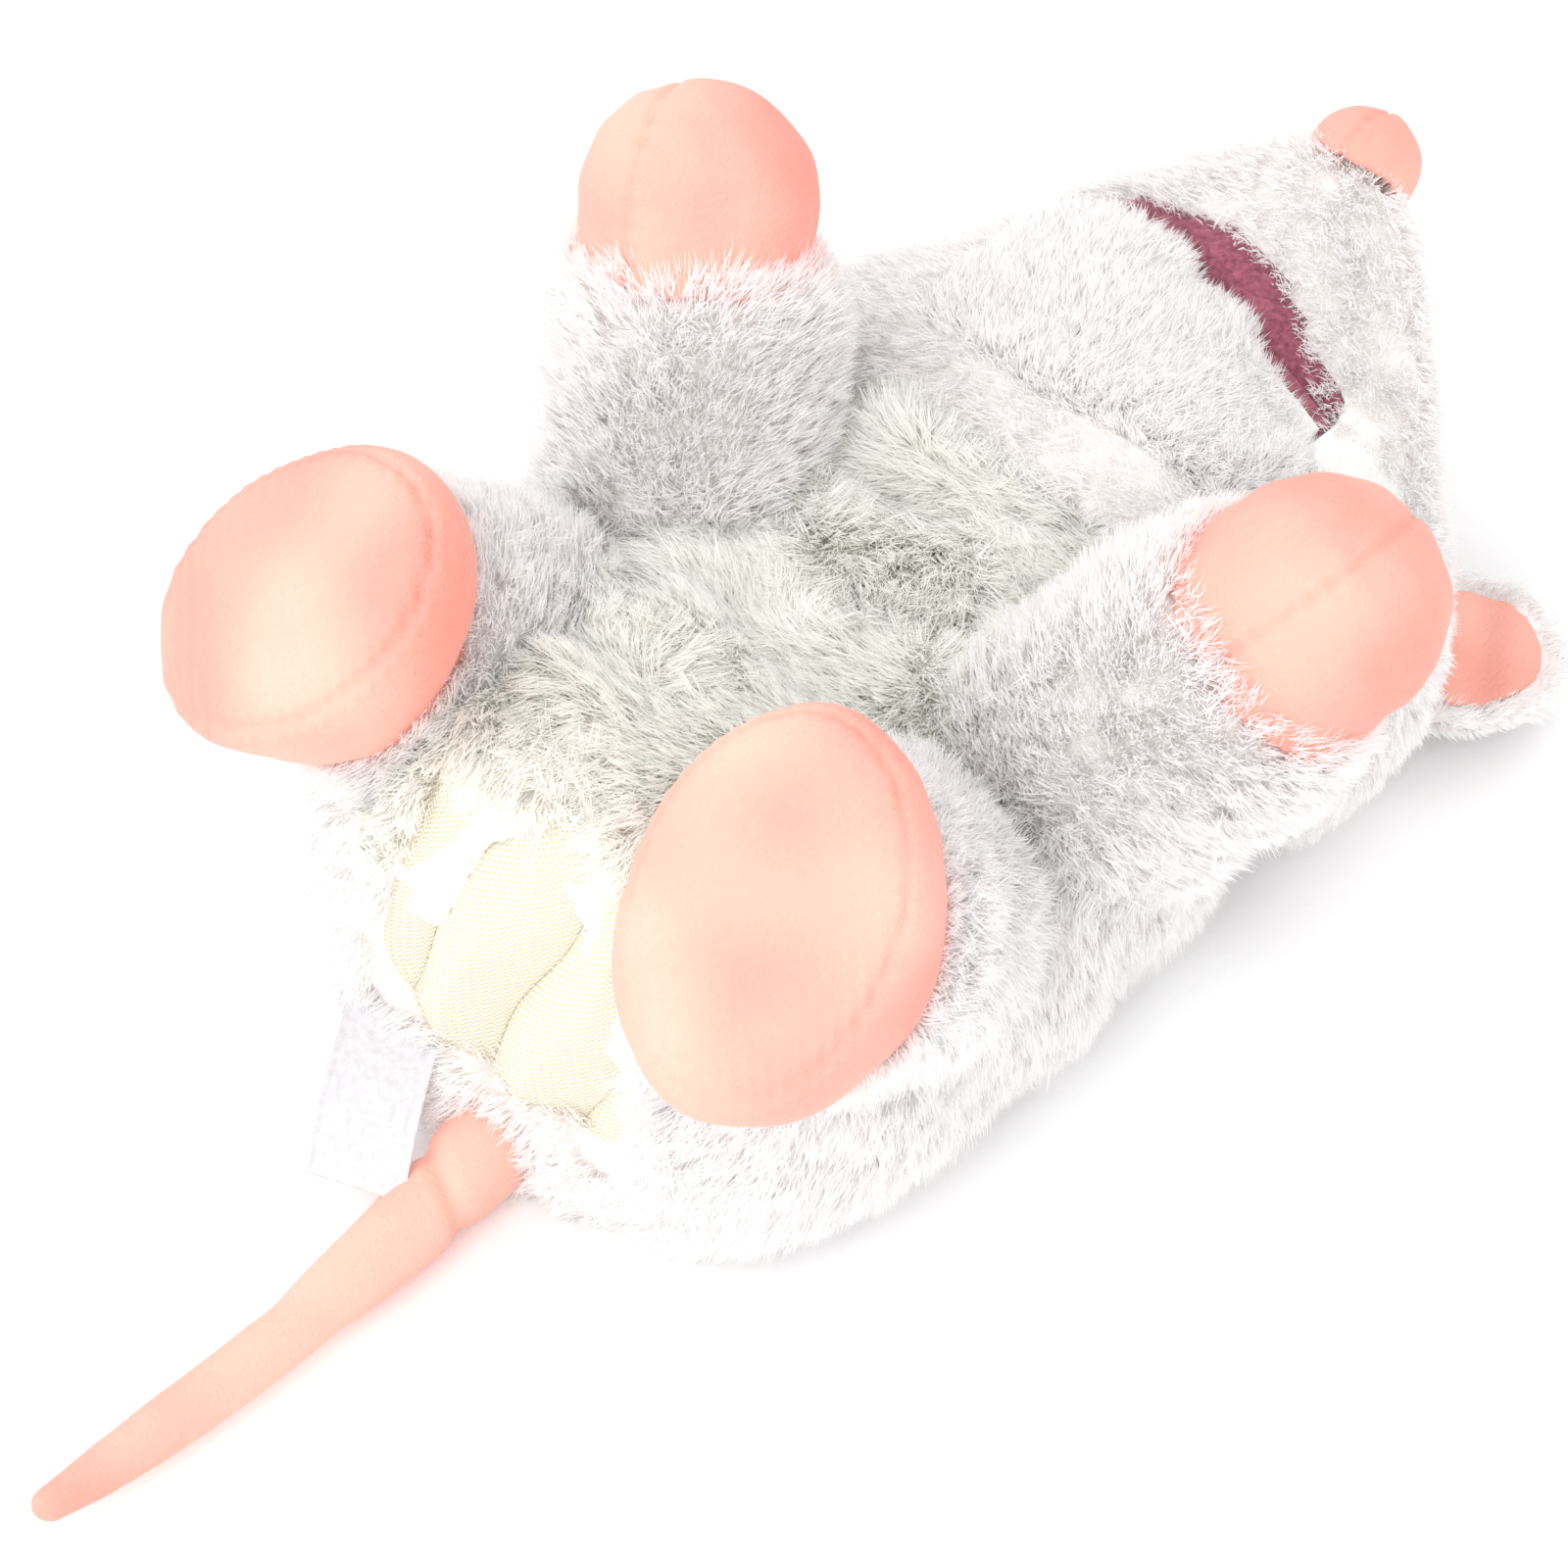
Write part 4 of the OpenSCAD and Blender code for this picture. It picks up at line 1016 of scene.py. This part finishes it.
class PUPPET_OT_fur(bpy.types.Operator):
    """Plants the fur on every furry skin"""
    bl_idname = "puppet.fur"
    bl_label = "Fur"

    def execute(self, context):
        settings = context.scene.puppet_fur
        limbs = [f"{side}_{part}" for side in SIDES for part in ("arm", "leg", "foot")]
        trees = {name: skin_tree(SKINS[name]) for name in ("trunk", "head", *limbs)}
        self.trunk(settings, trees)
        self.head(settings, trees)
        for side in SIDES:
            self.limb(settings, trees, f"{side}_arm", f"{side}_hand", 100)
            self.limb(settings, trees, f"{side}_leg", f"{side}_foot_sole", 120)
            self.ear(settings, side)
        return {"FINISHED"}

    def trunk(self, settings, trees):
        low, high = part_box("belly_panel")
        half, bottom = high[0], low[2] + 0.012
        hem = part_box("opening_hem")
        skin = SKINS["trunk"]

        def outer(points, normals):
            """Leaves out the walls of the glove's hollow and of the neck's."""
            deep = (points[:, 1] > hem[0][1] + 6 * MM) & (points[:, 1] < 0.1)
            centre = np.array([0, 0, 0.045])
            outward = ((points - centre) * normals * [1, 0.15, 1]).sum(axis=1) > 0
            return ~deep | outward

        def belly(points):
            return (np.abs(points[:, 0]) < half) & (points[:, 2] > bottom) & (points[:, 1] > low[1])
        limbs = [trees[f"{side}_{part}"] for part in ("arm", "leg", "foot") for side in SIDES]
        parts = (
            ("left_side", lambda p: (p[:, 0] > 0) & (p[:, 1] > -0.045), settings.tufts),
            ("right_side", lambda p: (p[:, 0] <= 0) & (p[:, 1] > -0.045), settings.tufts),
            ("left_rump", lambda p: (p[:, 0] > 0) & (p[:, 1] <= -0.045), settings.tufts),
            ("right_rump", lambda p: (p[:, 0] <= 0) & (p[:, 1] <= -0.045), settings.tufts),
        )
        for i, (name, where, tufts) in enumerate(parts):
            piece = fur(
                f"trunk_fur_{name}", skin, tufts, settings.pile,
                swirl((0, -1.0, -0.25), 0.07, 60, 0.45), 70 + i,
                keep=lambda p, n, w=where: w(p) & ~belly(p) & outer(p, n) & self.clear_of_opening(p), blocked=limbs)
            finish_piece(piece, "white_fibre", "torso")
        for i, sign in enumerate((1, -1)):
            piece = fur(
                f"belly_fur_{SIDES[i]}", SKINS["belly"], 5600, settings.belly_pile,
                swirl((0, -0.6, 0.1), 0.05, 80, 1.2), 90 + i,
                keep=lambda p, n, s=sign: (p[:, 0] * s > 0) & (n[:, 2] > -0.2) & self.clear_of_opening(p),
                blocked=limbs, lean=1.1, spread=2.6 * MM, clump=0.62)
            finish_piece(piece, "cream_fibre", "torso")

    @staticmethod
    def clear_of_opening(points):
        """Leaves out what the gathered lining covers."""
        low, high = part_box("opening_hem")
        reach = (high[0] - 4 * MM) * (1 - 0.25 * ((points[:, 2] - low[2]) / (high[2] - low[2])) ** 2)
        behind = points[:, 1] < low[1] + 0.26 * (points[:, 2] - low[2]) + 20 * MM
        return ~((np.abs(points[:, 0]) < reach) & (points[:, 2] > low[2] + 8 * MM)
                 & (points[:, 2] < high[2] + 3 * MM) & behind)

    def head(self, settings, trees):
        parts = (("left", lambda p: p[:, 0] > 0), ("right", lambda p: p[:, 0] <= 0))
        for i, (name, where) in enumerate(parts):
            piece = fur(
                f"head_fur_{name}", SKINS["head"], 9800, settings.face_pile,
                swirl((0, -1.0, 0.0), 0.08, 110, 0.35), 120 + i,
                keep=lambda p, n, w=where: w(p) & self.on_face(p, n), lean=1.0,
                blocked=[trees["trunk"]])
            finish_piece(piece, "white_fibre", bend=NECK_BEND)
        piece = fur(
            "jaw_fur", SKINS["jaw"], 5200, settings.face_pile * 1.05,
            swirl((0, 0.75, 0.2), 0.06, 130, 0.5), 140,
            keep=self.on_jaw, lean=0.95, blocked=[trees["head"], trees["trunk"]])
        finish_piece(piece, "white_fibre", bend=JAW_BEND)

    @staticmethod
    def on_face(points, normals):
        """Leaves out the walls of the mouth."""
        hinge = np.array(joint_at("jaw"))
        up = mouth_ways(bpy.context.scene.puppet_sewn.mouth_tilt)[1]
        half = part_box("jaw_cover")[1][0] + 6 * MM
        mouth_wall = (np.abs(points[:, 0]) < half) & (np.abs((points - hinge) @ up) < 4 * MM) & (normals @ up > 0.8)
        near_eye = np.zeros(len(points), bool)
        for side in SIDES:
            near_eye |= np.linalg.norm(points - np.array(middle(f"{side}_eye")), axis=1) < EYE_CLEARING
        return ~mouth_wall & ~near_eye

    @staticmethod
    def on_jaw(points, normals):
        """Leaves out the floor of the mouth."""
        up = mouth_ways(bpy.context.scene.puppet_sewn.mouth_tilt)[1]
        return (normals @ up > -0.3) & (normals[:, 2] > -0.1)

    def limb(self, settings, trees, body, end, seed):
        """Plants a sleeve's fur, up to the piece at its end."""
        start = np.array(joint_at(body))
        axis = np.array(middle(end)) - start
        axis /= np.linalg.norm(axis)
        cut = PUPPET_OT_limbs.reach_of(f"{body}_sleeve", Vector(start), Vector(axis))
        piece = fur(
            f"{body}_fur", SKINS[body], 5000 if "arm" in body else 3800, settings.pile * 1.1,
            swirl(axis * 1.0, 0.06, seed, 0.4), seed + 5, lean=0.8,
            keep=lambda p, n: ((n @ axis) < 0.75) & ((p - start) @ axis < cut), blocked=[trees["trunk"]])
        finish_piece(piece, "white_fibre", bend=shoulder_bend(body))

    def ear(self, settings, side):
        hinge = np.array(joint_at(f"{side}_ear"))
        out = np.array(middle(f"{side}_ear_inner")) - hinge
        lining = np.array(middle(f"{side}_ear_inner"))
        piece = fur(
            f"{side}_ear_fur", SKINS[f"{side}_ear"], 1500, settings.face_pile * 0.7,
            towards(*(out / np.linalg.norm(out))), 160 + len(side),
            keep=lambda p, n: (n[:, 2] < 0.6) | (np.linalg.norm(p - lining, axis=1) > 0.021), lean=1.1)
        finish_piece(piece, "white_fibre", f"{side}_ear")


class PUPPET_OT_inner_parts(bpy.types.Operator):
    """Finishes the parts that stay as they are: eyes, washers, pockets, filling and mouth"""
    bl_idname = "puppet.inner_parts"
    bl_label = "Inner parts"

    def execute(self, context):
        finishes = {
            "polyester_filling": "filling", "washer_plastic": "washer", "eye_plastic": "eye",
            "lining_knit": "knit_flat", "mouth_fleece": "mouth", "white_fur": "white_back",
            "cream_fur": "cream_back", "peach_minky": "peach", "label_satin": "label",
        }
        slots = {row["node"]: row["material_slot"] for row in frame["record"]["subparts"]}
        for name, node in frame["nodes"].items():
            material = MATERIALS[finishes[slots[name]]]
            if not node.material_slots:
                node.data.materials.append(material)
            for place in node.material_slots:
                place.material = material
        return {"FINISHED"}


class PUPPET_OT_stage(bpy.types.Operator):
    """Sets the pale floor, the soft light and the camera"""
    bl_idname = "puppet.stage"
    bl_label = "Stage"

    def execute(self, context):
        bpy.ops.object.select_all(action="DESELECT")
        bpy.ops.mesh.primitive_plane_add(size=12, location=(0, 0, -0.2 * MM))
        floor = bpy.context.object
        floor.name = "floor"
        material, tree, shader = new_material("matt_white_paper")
        colour_by(tree, shader, grain(tree, place_of(tree), 400.0), (0.3, "#f7f7f7"), (0.7, "#f9f9f9"))
        set_inputs(shader, Roughness=0.95)
        paint(floor, material)
        self.light("key_softbox", (0.6, -1.1, 1.2), 1.5, 20)
        self.light("fill_softbox", (-1.2, -0.6, 0.9), 1.6, 11)
        self.light("back_softbox", (0.3, 1.4, 1.3), 1.5, 6)
        context.scene.view_settings.view_transform = "Standard"
        world = bpy.data.worlds.new("soft_room")
        context.scene.world = world
        world.use_nodes = True
        background = world.node_tree.nodes["Background"]
        background.inputs[0].default_value = (1, 1, 1, 1)
        background.inputs[1].default_value = 0.85
        self.camera(context)
        return {"FINISHED"}

    @staticmethod
    def light(name, place, size, power):
        data = bpy.data.lights.new(name, "AREA")
        data.size = size
        data.energy = power
        lamp = bpy.data.objects.new(name, data)
        lamp.location = place
        lamp.rotation_euler = (Vector((0, 0.03, 0.04)) - Vector(place)).to_track_quat("-Z", "Y").to_euler()
        bpy.context.scene.collection.objects.link(lamp)

    @staticmethod
    def camera(context):
        azimuth, elevation, distance = math.radians(42), math.radians(49), 1.0
        target = Vector((-0.0267, 0.0389, 0))
        back = Vector((
            math.cos(elevation) * math.sin(azimuth), -math.cos(elevation) * math.cos(azimuth), math.sin(elevation)))
        data = bpy.data.cameras.new("camera")
        data.lens = 90
        data.sensor_width = 36
        camera = bpy.data.objects.new("camera", data)
        camera.location = target + back * distance
        camera.rotation_euler = (-back).to_track_quat("-Z", "Y").to_euler()
        context.scene.collection.objects.link(camera)
        context.scene.camera = camera


OPERATORS = (
    PUPPET_OT_stage, PUPPET_OT_inner_parts, PUPPET_OT_trunk, PUPPET_OT_head, PUPPET_OT_limbs,
    PUPPET_OT_tail_and_nose, PUPPET_OT_ears, PUPPET_OT_lining, PUPPET_OT_label, PUPPET_OT_fur,
)


class PUPPET_PT_panel(bpy.types.Panel):
    """Lists the puppet's steps"""
    bl_idname = "PUPPET_PT_panel"
    bl_label = "Hand puppet"
    bl_space_type = "VIEW_3D"
    bl_region_type = "UI"
    bl_category = "Puppet"

    def draw(self, context):
        for settings in (context.scene.puppet_fur, context.scene.puppet_sewn):
            for key in settings.__annotations__:
                self.layout.prop(settings, key)
        for operator in OPERATORS:
            self.layout.operator(operator.bl_idname)


CLASSES = (FurSettings, SewnSettings) + OPERATORS + (PUPPET_PT_panel,)


def register():
    for cls in CLASSES:
        bpy.utils.register_class(cls)
    bpy.types.Scene.puppet_fur = PointerProperty(type=FurSettings)
    bpy.types.Scene.puppet_sewn = PointerProperty(type=SewnSettings)


def unregister():
    del bpy.types.Scene.puppet_sewn
    del bpy.types.Scene.puppet_fur
    for cls in reversed(CLASSES):
        bpy.utils.unregister_class(cls)


def main():
    """Runs every step in order."""
    register()
    make_materials()
    for operator in OPERATORS:
        category, name = operator.bl_idname.split(".")
        getattr(getattr(bpy.ops, category), name)()


if __name__ == "__main__":
    main()
